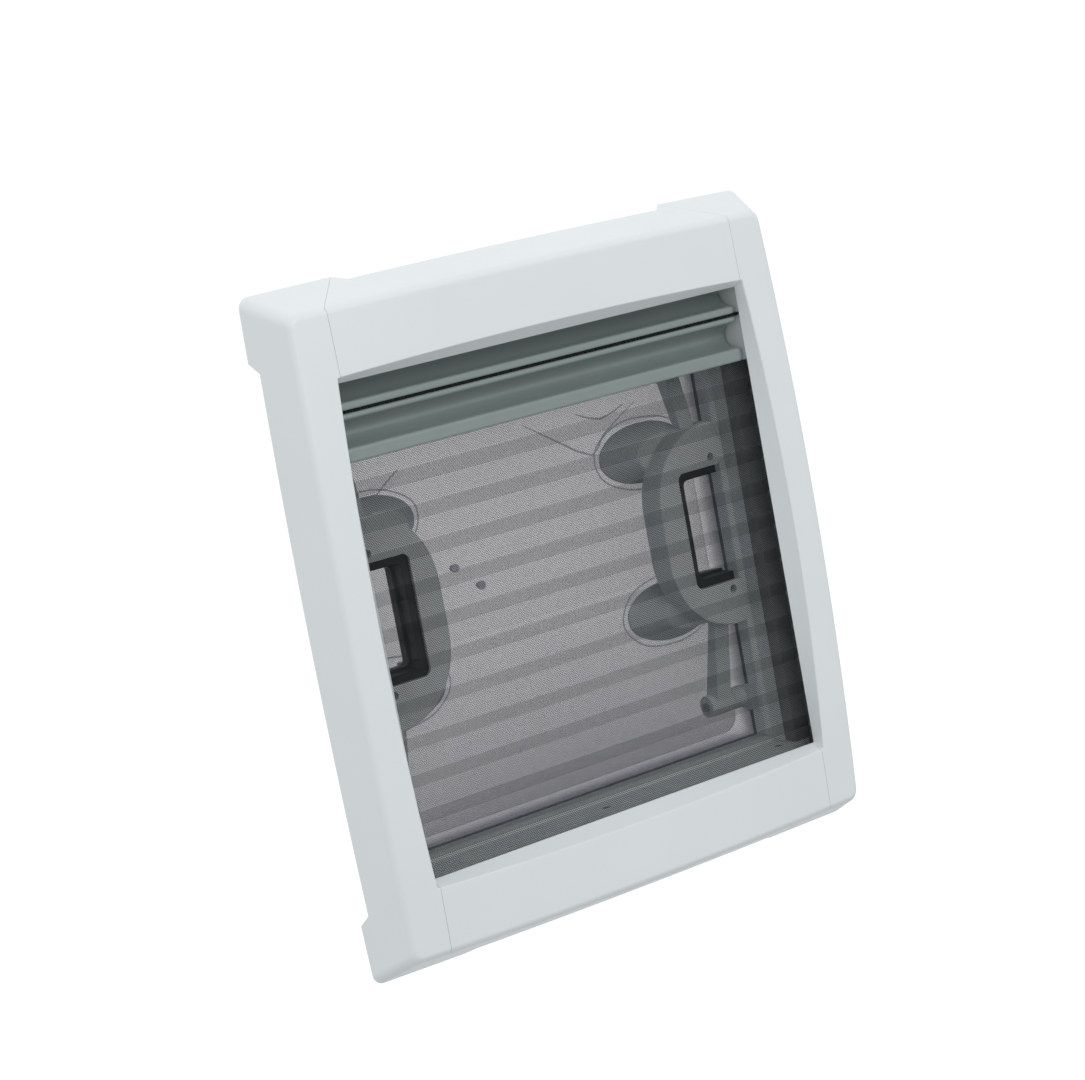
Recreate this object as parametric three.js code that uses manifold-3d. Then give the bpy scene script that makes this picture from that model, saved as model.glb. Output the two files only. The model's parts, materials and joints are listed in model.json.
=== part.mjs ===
// Square roof light for a caravan or camper, seen from the room: a moulded frame with a pleated
// fly screen and a pleated blackout blind, an outer frame that goes through the roof, and a clear
// dome that two handles push up on four arms. Millimetres; +X right, -Y into the room, +Y out
// through the roof, +Z up the drawing. The origin is the centre of the roof cut-out on the ceiling.
import * as THREE from 'three';
import { mergeVertices } from 'three/addons/utils/BufferGeometryUtils.js';
import Module from 'manifold-3d';

const wasm = await Module();
wasm.setup();

// ---- driving dimensions -------------------------------------------------------------------
const CUTOUT = 400;              // square hole in the roof
const ROOF_THICKNESS = 22;       // ceiling face to roof face
const OPENING_MARGIN = 11.5;     // cut-out to the clear opening, each side
const TOUCH_GAP = 0.3;           // gap left where two pieces touch
const SLIDE_GAP = 0.4;           // gap round a piece that slides

// room-side frame
const SKIRT = 42;                // ceiling to the front corners
const CROWN = 5.6;               // how far the face swells towards the room
const SIDE_WIDTH = 31;           // clear opening to the edge of the face, at the sides
const RAIL_WIDTH = 55;           // and at the top and bottom
const FLARE_X = 14.5;            // how much wider the skirt is at the ceiling, each side
const FLARE_Z = 18.5;
const BULGE_X = 4;               // bow of the outline at the middle of each side
const BULGE_Z = 2;
const REVEAL_DEPTH = 7.3;
const REVEAL_FLARE_X = 1;        // reveal edge outside the clear opening, at the corners
const REVEAL_FLARE_Z = 4.5;
const REVEAL_BOW_X = 7.3;        // extra at the middle of each side
const REVEAL_BOW_Z = 4;
const FRAME_WALL = 2.5;
const OUTLINE_RADIUS = 9;
const ARRIS_RADIUS = 4;
const RECESS = 9;                // air gap under the skirt between the feet
const FOOT_LENGTH = 48;          // along the side walls, from the corner
const WING_LENGTH = 81;          // along the top and bottom walls, from the corner
const FOOT_SLOPE = 8;
const PAD_WIDTH = 9;
const PAD_THICKNESS = 4;
const SEAM_INSET = 1;            // seam inside the edge of the clear opening

// outer frame and roof seal
const NECK_CLEARANCE = 3.7;      // outer frame to cut-out, each side
const NECK_WALL = 3;
const NECK_START = -7;
const SEAL_THICKNESS = 2;
const FLANGE_THICKNESS = 3;
const FLANGE_OVERHANG = 10;      // beyond the cut-out
const UPSTAND_STEP = 3.3;        // upstand inside the neck's inner face
const UPSTAND_WALL = 3;
const UPSTAND_HEIGHT = 10;

// dome
const DOME_SEAL_HEIGHT = 4;
const DOME_SEAL_WIDTH = 5;
const DOME_OVERHANG = 8.5;       // rim beyond the upstand
const DOME_THICKNESS = 3;
const DOME_RISE = 36;
const DRIP_DEPTH = 9;
const PANE_MARGIN = 5;           // pane inside the upstand
const PANE_THICKNESS = 2;
const PANE_RISE = 13.4;          // pane above the rim
const PLUG_PLACES = [[-62, 17], [-41, -2]];
const PLUG_HEAD = 5;
const PLUG_STEM = 2.6;

// handles, on each side of the dome
const HANDLE_STANDOFF = 50;      // pane to the grip's face
const HANDLE_DEPTH = 26;
const HANDLE_WIDTH = 67;
const HANDLE_HALF_Z = 84;
const HANDLE_TO_UPSTAND = 13;
const FINGER_DEPTH = 44;         // open side of the grip to the bottom of the finger gap
const CHEEK = 36;                // the grip's solid ends, above and below the finger gap
const TIP_RADIUS = 6;
const FOOT_HALF = [44, 25];
const FOOT_INSET = [40, 18];     // foot's centre from the grip's open side and its end
const HANDLE_SCREW_INSET = [8.5, 29];
const HANDLE_SCREW_SINK = 6;
const TRIGGER_LINING = 5;
const TRIGGER_TUCK = 3.4;        // how far it reaches into the grip's pocket
const TRIGGER_TRAVEL = 3;
const TRIGGER_RECESS = 3;

// arms between the handles and the outer frame
const PIVOT_DROP = 11;           // pivot below the pane
const PIVOT_INSET = 34;          // pivot inside the upstand
const ARM_TIP_DEPTH = 17;        // arm tip inside the grip, from its face
const ARM_TIP_INSET = 14;        // and from its end
const ARM_WIDTH = 14;
const ARM_INSET = 8;             // arm from the grip's open side
const ARM_TIP_RADIUS = 4;
const HUB_RADIUS = 9;
const HUB_OVERHANG = [6, 4];     // hub beyond the arm, towards the middle and the wall
const BRACKET_PLATE = 4;
const BRACKET_GAP = 1.5;         // to the outer frame, clear of the dome when it is shut
const PIN_RADIUS = 2.5;

// blinds
const RAIL_SETBACK = 2.2;        // rails behind the reveal
const RAIL_TO_NECK = 2;
const RAIL_END_GAP = 0.8;        // to the collar
const PARKED_OVER = 21.8;        // the parked blackout rail's top edge above the clear opening
const BRUSH_GAP = 2.4;
const FLY_RAIL_SIZE = { height: 36, lip: 11, topLip: 4.5 };
const BLACKOUT_RAIL_SIZE = { height: 42.6, lip: 6.2, topLip: 7 };
const GUIDE_BEHIND = 16.5;       // guide's face behind the side member, from the clear opening
const CASSETTE_MARGIN = 7.5;     // blinds' fixed ends inside the edge of the face
const BLIND_SIDE_GAP = 1.5;
const SCREEN_PAIRS = 13;
const PLEAT_INSET = 3;           // pleats inside the rails' depth
const SCREEN_THICKNESS = 0.8;
const PANEL_WALL = 2;
const COLLAR_DEPTH = 12;         // the guides' and cassettes' collar inside the outer frame

// fasteners
const SCREW_HEAD = 4.2;
const SCREW_SHANK = 1.9;
const CORNER_SCREW_INSET = 13;

// ---- derived -------------------------------------------------------------------------------
const REVEAL_HALF = CUTOUT / 2 - OPENING_MARGIN;
const FACE_Y = -SKIRT;
const FACE_HALF_X = REVEAL_HALF + SIDE_WIDTH;
const FACE_HALF_Z = REVEAL_HALF + RAIL_WIDTH;
const FOOT_END_Z = FACE_HALF_Z + FLARE_Z - FOOT_LENGTH;
const WING_END_X = FACE_HALF_X + FLARE_X - WING_LENGTH;
const SEAM_X = REVEAL_HALF - SEAM_INSET;
const REVEAL_BACK = FACE_Y + REVEAL_DEPTH;
const NECK_OUT = CUTOUT / 2 - NECK_CLEARANCE;
const NECK_IN = NECK_OUT - NECK_WALL;
const PANEL_OUT = NECK_IN - TOUCH_GAP;
const PANEL_IN = PANEL_OUT - PANEL_WALL;
const COLLAR_END = NECK_START + COLLAR_DEPTH;
const GUIDE_IN = REVEAL_HALF + GUIDE_BEHIND;
const GUIDE_OUT = GUIDE_IN + PANEL_WALL;
const CORNER_SCREW_X = PANEL_IN - CORNER_SCREW_INSET;
const FLANGE_Y = ROOF_THICKNESS + SEAL_THICKNESS;
const FLANGE_HALF = CUTOUT / 2 + FLANGE_OVERHANG;
const UPSTAND_HALF = NECK_IN - UPSTAND_STEP;
const UPSTAND_IN = UPSTAND_HALF - UPSTAND_WALL;
const UPSTAND_TOP = FLANGE_Y + FLANGE_THICKNESS + UPSTAND_HEIGHT;
const RIM_Y = UPSTAND_TOP + DOME_SEAL_HEIGHT + 2 * TOUCH_GAP;
const DOME_RIM_HALF = UPSTAND_HALF + DOME_OVERHANG;
const PANE_HALF = UPSTAND_IN - PANE_MARGIN;
const PANE_BOTTOM = RIM_Y + PANE_RISE;
const HANDLE_TIP_X = UPSTAND_IN - HANDLE_TO_UPSTAND;
const GRIP_X = HANDLE_TIP_X - HANDLE_WIDTH;
const FINGER_GAP_X = HANDLE_TIP_X - FINGER_DEPTH;
const FINGER_HALF_Z = HANDLE_HALF_Z - CHEEK;
const HANDLE_BOTTOM = PANE_BOTTOM - HANDLE_STANDOFF;
const HANDLE_TOP = HANDLE_BOTTOM + HANDLE_DEPTH;
const FOOT_CENTRE = [HANDLE_TIP_X - FOOT_INSET[0], HANDLE_HALF_Z - FOOT_INSET[1]];
const HANDLE_SCREW = [HANDLE_TIP_X - HANDLE_SCREW_INSET[0], HANDLE_HALF_Z - HANDLE_SCREW_INSET[1]];
const PIVOT_Y = PANE_BOTTOM - PIVOT_DROP;
const PIVOT_Z = UPSTAND_IN - PIVOT_INSET;
const ARM_TIP_Y = HANDLE_BOTTOM + ARM_TIP_DEPTH;
const ARM_TIP_Z = HANDLE_HALF_Z - ARM_TIP_INSET;
const ARM_X = [HANDLE_TIP_X - ARM_INSET - ARM_WIDTH, HANDLE_TIP_X - ARM_INSET];
const HUB_X = [ARM_X[0] - HUB_OVERHANG[0], ARM_X[1] + HUB_OVERHANG[1]];
const RAIL_FRONT = REVEAL_BACK + RAIL_SETBACK;
const RAIL_BACK = NECK_START - RAIL_TO_NECK;
const RAIL_END_X = PANEL_IN - RAIL_END_GAP;
const PLEAT_FRONT = RAIL_FRONT + PLEAT_INSET;
const PLEAT_BACK = RAIL_BACK - PLEAT_INSET;
const BLIND_END_Z = FACE_HALF_Z - CASSETTE_MARGIN;
const BLIND_HALF_X = GUIDE_IN - BLIND_SIDE_GAP;
const BLACKOUT_RAIL = railPlace(REVEAL_HALF + PARKED_OVER, BLACKOUT_RAIL_SIZE);
const FLY_RAIL = railPlace(BLACKOUT_RAIL.bottom - BRUSH_GAP, FLY_RAIL_SIZE);
const SIDES = [['left', -1], ['right', 1]];
const LEVELS = [['top', 1], ['bottom', -1]];

const WHITE = { color: 0xf1f4f4, roughness: 0.35, metalness: 0 };
const GREY = { color: 0x8b9192, roughness: 0.5, metalness: 0 };
const RAIL_GREY = { color: 0x84908e, roughness: 0.4, metalness: 0.1 };
const BLACK = { color: 0x1c1d1f, roughness: 0.5, metalness: 0 };
const RUBBER = { color: 0x141414, roughness: 0.9, metalness: 0 };
const STEEL = { color: 0x9a9da0, roughness: 0.35, metalness: 1 };
const SCREEN = { color: 0x8f8f96, roughness: 0.9, metalness: 0 };
const BLIND = { color: 0xdedfe2, roughness: 0.9, metalness: 0 };
const ACRYLIC = { color: 0xdfe3ec, roughness: 0.08, metalness: 0, transparent: true, opacity: 0.35 };

const roofLight = new THREE.Group();

// ---- helpers -------------------------------------------------------------------------------
function turnOutward(geometry) {
  const p = geometry.attributes.position;
  const index = geometry.index.array;
  let volume = 0;
  const a = new THREE.Vector3();
  const b = new THREE.Vector3();
  const c = new THREE.Vector3();
  for (let i = 0; i < index.length; i += 3) {
    a.fromBufferAttribute(p, index[i]);
    b.fromBufferAttribute(p, index[i + 1]);
    c.fromBufferAttribute(p, index[i + 2]);
    volume += a.dot(b.cross(c));
  }
  if (volume < 0) {
    for (let i = 0; i < index.length; i += 3) {
      [index[i + 1], index[i + 2]] = [index[i + 2], index[i + 1]];
    }
  }
  return geometry;
}

function bare(geometry) {
  const plain = geometry.clone();
  plain.deleteAttribute('normal');
  plain.deleteAttribute('uv');
  return turnOutward(mergeVertices(plain, 1e-4));
}

function solid(geometry) {
  const g = bare(geometry);
  return new wasm.Manifold(new wasm.Mesh({
    numProp: 3,
    vertProperties: new Float32Array(g.attributes.position.array),
    triVerts: new Uint32Array(g.index.array),
  }));
}

function geometryOf(manifold) {
  const mesh = manifold.getMesh();
  const g = new THREE.BufferGeometry();
  g.setAttribute('position', new THREE.BufferAttribute(new Float32Array(mesh.vertProperties), 3));
  g.setIndex(Array.from(mesh.triVerts));
  return g;
}

function cut(geometry, ...tools) {
  return geometryOf(tools.reduce((rest, tool) => rest.subtract(solid(tool)), solid(geometry)));
}

function join(geometry, ...others) {
  return geometryOf(others.reduce((all, other) => all.add(solid(other)), solid(geometry)));
}

function common(geometry, other) {
  return geometryOf(solid(geometry).intersect(solid(other)));
}

function box([x0, x1], [y0, y1], [z0, z1]) {
  const g = new THREE.BoxGeometry(Math.abs(x1 - x0), Math.abs(y1 - y0), Math.abs(z1 - z0));
  return g.translate((x0 + x1) / 2, (y0 + y1) / 2, (z0 + z1) / 2);
}

// A prism along one axis. Its outline is given in the other two axes, in XYZ order.
function prism(outline, axis, from, to, curveSegments = 6) {
  const shape = outline instanceof THREE.Shape ? outline : new THREE.Shape(
    outline.map(([u, v]) => new THREE.Vector2(u, v)));
  const g = new THREE.ExtrudeGeometry(shape, { depth: Math.abs(to - from), bevelEnabled: false, curveSegments });
  g.translate(0, 0, Math.min(from, to));
  const turn = new THREE.Matrix4();
  if (axis === 'x') turn.set(0, 0, 1, 0, 1, 0, 0, 0, 0, 1, 0, 0, 0, 0, 0, 1);
  if (axis === 'y') turn.set(1, 0, 0, 0, 0, 0, 1, 0, 0, 1, 0, 0, 0, 0, 0, 1);
  return bare(g.applyMatrix4(turn));
}

function rod(axis, radius, from, to, [u, v], sides = 16) {
  const g = new THREE.CylinderGeometry(radius, radius, Math.abs(to - from), sides);
  const middle = (from + to) / 2;
  if (axis === 'x') return g.rotateZ(Math.PI / 2).translate(middle, u, v);
  if (axis === 'y') return g.translate(u, middle, v);
  return g.rotateX(Math.PI / 2).translate(u, v, middle);
}

function mirrored(geometry, side) {
  return side > 0 ? geometry : turnOutward(bare(geometry).scale(-1, 1, 1));
}

function add(name, geometry, finish) {
  const mesh = new THREE.Mesh(geometry, new THREE.MeshStandardMaterial(finish));
  mesh.name = name;
  roofLight.add(mesh);
}

// Points round a rectangle with rounded corners, whose sides may bow outwards.
function rounded(halfX, halfZ, radius, bowX = 0, bowZ = 0, edgeSteps = 1, cornerSteps = 3) {
  const points = [];
  for (let corner = 0; corner < 4; corner += 1) {
    const sx = corner === 0 || corner === 3 ? 1 : -1;
    const sz = corner < 2 ? 1 : -1;
    for (let i = 0; i <= cornerSteps; i += 1) {
      const angle = (corner + i / cornerSteps) * Math.PI / 2;
      points.push([sx * (halfX - radius) + radius * Math.cos(angle),
        sz * (halfZ - radius) + radius * Math.sin(angle)]);
    }
    const alongX = corner % 2 === 0;
    for (let i = 1; i < edgeSteps; i += 1) {
      const t = 1 - 2 * i / edgeSteps;
      const bow = 1 - t * t;
      points.push(alongX
        ? [sx * t * (halfX - radius), sz * (halfZ + bowZ * bow)]
        : [sx * (halfX + bowX * bow), sz * t * (halfZ - radius)]);
    }
  }
  return points;
}

// A closed surface through loops of equal length: a ring, or a body closed at both ends.
function loft(loops, ring) {
  const count = loops[0].length;
  const positions = loops.flat(2);
  const index = [];
  const bands = ring ? loops.length : loops.length - 1;
  for (let j = 0; j < bands; j += 1) {
    const next = (j + 1) % loops.length;
    for (let i = 0; i < count; i += 1) {
      const k = (i + 1) % count;
      index.push(j * count + i, j * count + k, next * count + k);
      index.push(j * count + i, next * count + k, next * count + i);
    }
  }
  if (!ring) {
    for (const [j, flip] of [[0, true], [loops.length - 1, false]]) {
      const centre = loops[j].reduce((s, p) => s.map((v, n) => v + p[n] / count), [0, 0, 0]);
      const apex = positions.length / 3;
      positions.push(...centre);
      for (let i = 0; i < count; i += 1) {
        const k = (i + 1) % count;
        index.push(...(flip ? [apex, j * count + k, j * count + i] : [apex, j * count + i, j * count + k]));
      }
    }
  }
  const g = new THREE.BufferGeometry();
  g.setAttribute('position', new THREE.BufferAttribute(new Float32Array(positions), 3));
  g.setIndex(index);
  return turnOutward(g);
}

function squareRing(outer, inner, y0, y1, radius) {
  const at = (half, y) => rounded(half, half, Math.max(radius - (outer - half), 1)).map(([x, z]) => [x, y, z]);
  return loft([at(outer, y0), at(outer, y1), at(inner, y1), at(inner, y0)], true);
}

// ---- room-side frame -----------------------------------------------------------------------
function faceY(x, z) {
  return FACE_Y - CROWN * (1 - Math.min(1, (x / FACE_HALF_X) ** 2 * (z / FACE_HALF_Z) ** 2));
}

function frameShell() {
  const steps = [10, 3];
  const outline = (inset, flare) => rounded(FACE_HALF_X + flare * FLARE_X - inset,
    FACE_HALF_Z + flare * FLARE_Z - inset, Math.max(OUTLINE_RADIUS - inset, 3), BULGE_X, BULGE_Z, ...steps);
  const reveal = (offset, flare) => rounded(REVEAL_HALF + flare * REVEAL_FLARE_X + offset,
    REVEAL_HALF + flare * REVEAL_FLARE_Z + offset, 1 + Math.max(offset, 0), flare * REVEAL_BOW_X,
    flare * REVEAL_BOW_Z, ...steps);
  const level = (points, y) => points.map(([x, z]) => [x, y, z]);
  const onFace = (points, drop) => points.map(([x, z]) => [x, faceY(x, z) + drop, z]);
  const slope = (y) => (y - FACE_Y) / SKIRT;
  return loft([
    level(reveal(0, 0), REVEAL_BACK),
    onFace(reveal(0, 1), 0.8),
    onFace(reveal(0.8, 1), 0),
    onFace(outline(ARRIS_RADIUS, 0), 0),
    onFace(outline(ARRIS_RADIUS * 0.29, 0), ARRIS_RADIUS * 0.29),
    onFace(outline(0, slope(FACE_Y + ARRIS_RADIUS)), ARRIS_RADIUS),
    level(outline(0, 1), 0),
    level(outline(FRAME_WALL, 1), 0),
    onFace(outline(FRAME_WALL, slope(FACE_Y + ARRIS_RADIUS)), ARRIS_RADIUS + 1),
    onFace(outline(ARRIS_RADIUS, 0), FRAME_WALL),
    onFace(reveal(FRAME_WALL, 1), FRAME_WALL),
    level(reveal(FRAME_WALL, 0), REVEAL_BACK),
  ], true);
}

// Bearing pads inside the four corners of the skirt, flush with the ceiling face.
function footPads() {
  const outline = (inset, y) => rounded(FACE_HALF_X + FLARE_X - inset, FACE_HALF_Z + FLARE_Z - inset,
    Math.max(OUTLINE_RADIUS - inset, 2), BULGE_X, BULGE_Z, 10, 3).map(([x, z]) => [x, y, z]);
  const outer = FRAME_WALL - 0.5;
  const inner = FRAME_WALL + PAD_WIDTH;
  const ring = loft([outline(outer + 1.5, -PAD_THICKNESS), outline(outer, 0), outline(inner, 0),
    outline(inner, -PAD_THICKNESS)], true);
  const far = 2 * FACE_HALF_Z;
  return cut(ring, box([-WING_END_X, WING_END_X], [-far, far], [-far, far]),
    box([-far, far], [-far, far], [-FOOT_END_Z, FOOT_END_Z]));
}

function frame() {
  const far = 2 * FACE_HALF_Z;
  const recess = (end) => [[-RECESS, end - FOOT_SLOPE], [1, end + 1], [1, -end - 1], [-RECESS, FOOT_SLOPE - end]];
  const sideRecess = prism(recess(FOOT_END_Z), 'x', -far, far);
  const crossRecess = prism(recess(WING_END_X).map(([y, x]) => [x, y]), 'z', -far, far);
  const shell = join(cut(frameShell(), sideRecess, crossRecess), footPads());
  // The seam is straight across the face and slants to the wing's end along the skirt wall.
  const slant = (gap) => [[-SEAM_X + gap, -far], [SEAM_X - gap, -far], [SEAM_X - gap, FACE_Y + 1],
    [WING_END_X - gap, 0.5], [-WING_END_X + gap, 0.5], [-SEAM_X + gap, FACE_Y + 1]];
  const skirtStart = FACE_HALF_Z - OUTLINE_RADIUS;
  const between = (gap, sign) => join(
    box([gap - SEAM_X, SEAM_X - gap], [-far, far], [sign * (REVEAL_HALF - 1), sign * skirtStart]),
    prism(slant(gap), 'z', sign * skirtStart, sign * far),
  );
  for (const [level, sign] of LEVELS) {
    add(`frame_rail_${level}`, common(shell, between(TOUCH_GAP, sign)), WHITE);
  }
  for (const [side, sign] of SIDES) {
    const half = cut(shell, between(0, 1), between(0, -1));
    add(`frame_side_${side}`, common(half, box([0, sign * far], [-far, far], [-far, far])), WHITE);
  }
}

// ---- outer frame, roof seal and dome seal --------------------------------------------------
function outerFrame() {
  const section = [[NECK_IN, NECK_START], [NECK_OUT, NECK_START], [NECK_OUT, FLANGE_Y], [FLANGE_HALF, FLANGE_Y],
    [FLANGE_HALF, FLANGE_Y + FLANGE_THICKNESS], [UPSTAND_HALF, FLANGE_Y + FLANGE_THICKNESS],
    [UPSTAND_HALF, UPSTAND_TOP], [UPSTAND_IN, UPSTAND_TOP], [UPSTAND_IN, FLANGE_Y], [NECK_IN, FLANGE_Y]];
  const seal = [[NECK_OUT + 2, ROOF_THICKNESS], [FLANGE_HALF - 1, ROOF_THICKNESS],
    [FLANGE_HALF - 1, FLANGE_Y - TOUCH_GAP], [NECK_OUT + 2, FLANGE_Y - TOUCH_GAP]];
  const far = CUTOUT;
  for (const [name, sx, sz] of [['left', -1, 0], ['right', 1, 0], ['top', 0, 1], ['bottom', 0, -1]]) {
    const mitre = [[TOUCH_GAP, 0], [far, far - TOUCH_GAP], [far, TOUCH_GAP - far]];
    const wedge = prism(mitre.map(([u, v]) => (sx ? [sx * u, v] : [v, sz * u])), 'y', -far, far);
    const length = FLANGE_HALF;
    const run = (outline) => (sx
      ? prism(outline.map(([r, y]) => [sx * r, y]), 'z', -length, length)
      : prism(outline.map(([r, y]) => [y, sz * r]), 'x', -length, length));
    let wall = common(run(section), wedge);
    for (const place of screwPlaces().filter((s) => s.wall === name)) {
      wall = cut(wall, screwRod(place, SCREW_SHANK + TOUCH_GAP, NECK_IN - 1, NECK_OUT + 1));
    }
    add(`outer_frame_${name}`, wall, GREY);
    add(`roof_seal_${name}`, common(run(seal), wedge), RUBBER);
  }
  add('dome_seal', squareRing(UPSTAND_IN + DOME_SEAL_WIDTH, UPSTAND_IN,
    UPSTAND_TOP + TOUCH_GAP, UPSTAND_TOP + TOUCH_GAP + DOME_SEAL_HEIGHT, 6), RUBBER);
}

// ---- frame screws, through the collar into the outer frame ---------------------------------
function screwPlaces() {
  const places = [];
  for (const [name, sign] of SIDES) places.push({ name: `frame_screw_${name}`, wall: name, sign, along: 0 });
  for (const [name, sign] of LEVELS) {
    places.push({ name: `frame_screw_${name}`, wall: name, sign, along: 0 });
    for (const [side, way] of SIDES) {
      places.push({ name: `frame_screw_${name}_${side}`, wall: name, sign, along: way * CORNER_SCREW_X });
    }
  }
  return places;
}

function screwRod({ wall, sign, along }, radius, from, to) {
  return wall === 'left' || wall === 'right'
    ? rod('x', radius, sign * from, sign * to, [-1, along], 12)
    : rod('z', radius, sign * from, sign * to, [along, -1], 12);
}

function frameScrews() {
  for (const place of screwPlaces()) {
    const head = screwRod(place, SCREW_HEAD, PANEL_IN + TOUCH_GAP, PANEL_OUT);
    const shank = screwRod(place, SCREW_SHANK, PANEL_IN + 1, NECK_OUT + 1.5);
    add(place.name, join(head, shank), STEEL);
  }
}

// ---- dome ----------------------------------------------------------------------------------
function dome() {
  const top = RIM_Y + DOME_RISE;
  const rim = RIM_Y + DOME_THICKNESS;
  const wall = UPSTAND_HALF + 1;
  const outside = [[DOME_RIM_HALF, rim, 12], [wall, rim, 9], [wall - 0.5, rim + 8, 9], [wall - 3, rim + 14, 12],
    [wall - 9, top - 15, 18], [wall - 26, top - 9, 30], [130, top - 4, 40], [80, top - 1.2, 36], [30, top, 20]];
  const inside = outside.slice(2).map(([half, y, r]) => [half - DOME_THICKNESS, y - DOME_THICKNESS, r]);
  const profile = [[DOME_RIM_HALF, RIM_Y - DRIP_DEPTH, 12], ...outside, ...inside.reverse(),
    [wall - DOME_THICKNESS, RIM_Y, 9], [DOME_RIM_HALF - DOME_THICKNESS, RIM_Y, 10],
    [DOME_RIM_HALF - DOME_THICKNESS, RIM_Y - DRIP_DEPTH, 10]];
  const loops = profile.map(([half, y, r]) => rounded(half, half, r, 0, 0, 4, 3).map(([x, z]) => [x, y, z]));
  const crownCut = outside.length;
  const start = [...loops.slice(crownCut + 1), ...loops.slice(0, crownCut + 1)];
  add('outer_dome', loft(start, false), ACRYLIC);

  let pane = loft([PANE_BOTTOM, PANE_BOTTOM + PANE_THICKNESS].map((y) => rounded(PANE_HALF, PANE_HALF, 14, 0, 0, 1, 4)
    .map(([x, z]) => [x, y, z])), false);
  PLUG_PLACES.forEach((place, i) => {
    pane = cut(pane, rod('y', PLUG_STEM + TOUCH_GAP, PANE_BOTTOM - 1, PANE_BOTTOM + PANE_THICKNESS + 1, place));
    const head = rod('y', PLUG_HEAD, PANE_BOTTOM - TOUCH_GAP - 2, PANE_BOTTOM - TOUCH_GAP, place);
    const stem = rod('y', PLUG_STEM, PANE_BOTTOM - 1, PANE_BOTTOM + PANE_THICKNESS + 1.5, place);
    add(`breather_plug_${i + 1}`, join(head, stem), GREY);
  });
  add('inner_dome', pane, ACRYLIC);
}

// ---- handles -------------------------------------------------------------------------------
function gripOutline() {
  const s = new THREE.Shape();
  const round = HANDLE_TIP_X - TIP_RADIUS;
  const swell = 18;
  s.moveTo(HANDLE_TIP_X, FINGER_HALF_Z);
  s.lineTo(HANDLE_TIP_X, HANDLE_HALF_Z - TIP_RADIUS - 4);
  s.quadraticCurveTo(HANDLE_TIP_X - 1, HANDLE_HALF_Z - 2, round - 4, HANDLE_HALF_Z);
  s.bezierCurveTo(round - 38, HANDLE_HALF_Z, GRIP_X, HANDLE_HALF_Z - 26, GRIP_X, swell);
  s.lineTo(GRIP_X, -swell);
  s.bezierCurveTo(GRIP_X, 26 - HANDLE_HALF_Z, round - 38, -HANDLE_HALF_Z, round - 4, -HANDLE_HALF_Z);
  s.quadraticCurveTo(HANDLE_TIP_X - 1, 2 - HANDLE_HALF_Z, HANDLE_TIP_X, TIP_RADIUS + 4 - HANDLE_HALF_Z);
  s.lineTo(HANDLE_TIP_X, -FINGER_HALF_Z);
  s.lineTo(FINGER_GAP_X + 4, -FINGER_HALF_Z);
  s.quadraticCurveTo(FINGER_GAP_X, -FINGER_HALF_Z, FINGER_GAP_X, 4 - FINGER_HALF_Z);
  s.lineTo(FINGER_GAP_X, FINGER_HALF_Z - 4);
  s.quadraticCurveTo(FINGER_GAP_X, FINGER_HALF_Z, FINGER_GAP_X + 4, FINGER_HALF_Z);
  return s;
}

// One foot of a handle: it flares from the grip's end to an oval that is bonded to the dome.
function handleFoot(level) {
  const [cx, cz] = FOOT_CENTRE;
  const ring = (halfX, halfZ, shift, y) => Array.from({ length: 24 }, (unused, i) => {
    const angle = i * Math.PI / 12;
    return [cx + shift + halfX * Math.cos(angle), y, level * (cz + halfZ * Math.sin(angle))];
  });
  const [halfX, halfZ] = FOOT_HALF;
  const end = PANE_BOTTOM - TOUCH_GAP;
  return loft([ring(27, 15, 4, HANDLE_TOP - 3), ring(31, 18, 2, HANDLE_TOP + 6),
    ring(halfX * 0.86, halfZ * 0.9, 1, end - 8), ring(halfX, halfZ, 0, end - 2), ring(halfX, halfZ, 0, end)], false);
}

function handle(side, sign) {
  const pocket = box([FINGER_GAP_X - TRIGGER_TUCK - TRIGGER_TRAVEL - SLIDE_GAP, FINGER_GAP_X + 5],
    [HANDLE_BOTTOM + TRIGGER_RECESS, HANDLE_TOP + 1], [-FINGER_HALF_Z, FINGER_HALF_Z]);
  const tools = [pocket];
  const headBack = HANDLE_BOTTOM + HANDLE_SCREW_SINK + 2;
  for (const level of [1, -1]) {
    tools.push(box([ARM_X[0] - 1, ARM_X[1] + 1], [HANDLE_BOTTOM + 4, HANDLE_TOP + 6],
      [level * (ARM_TIP_Z - 9), level * (HANDLE_HALF_Z + 16)]));
    const place = [HANDLE_SCREW[0], level * HANDLE_SCREW[1]];
    tools.push(rod('y', SCREW_SHANK + TOUCH_GAP, HANDLE_BOTTOM - 1, headBack + 12 + TOUCH_GAP, place, 10));
    tools.push(rod('y', SCREW_HEAD - 0.8, HANDLE_BOTTOM - 1, headBack + TOUCH_GAP, place, 12));
  }
  const grip = prism(gripOutline(), 'y', HANDLE_BOTTOM, HANDLE_TOP, 7);
  const body = cut(join(grip, handleFoot(1), handleFoot(-1)), ...tools);
  add(`handle_${side}`, mirrored(body, sign), GREY);
  for (const [level, way] of LEVELS) {
    const place = [sign * HANDLE_SCREW[0], way * HANDLE_SCREW[1]];
    const head = rod('y', SCREW_HEAD - 0.8 - TOUCH_GAP, headBack - 1.6, headBack, place, 12);
    const shank = rod('y', SCREW_SHANK, headBack - 1, headBack + 12, place, 10);
    add(`handle_screw_${side}_${level}`, join(head, shank), STEEL);
  }
}

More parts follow.
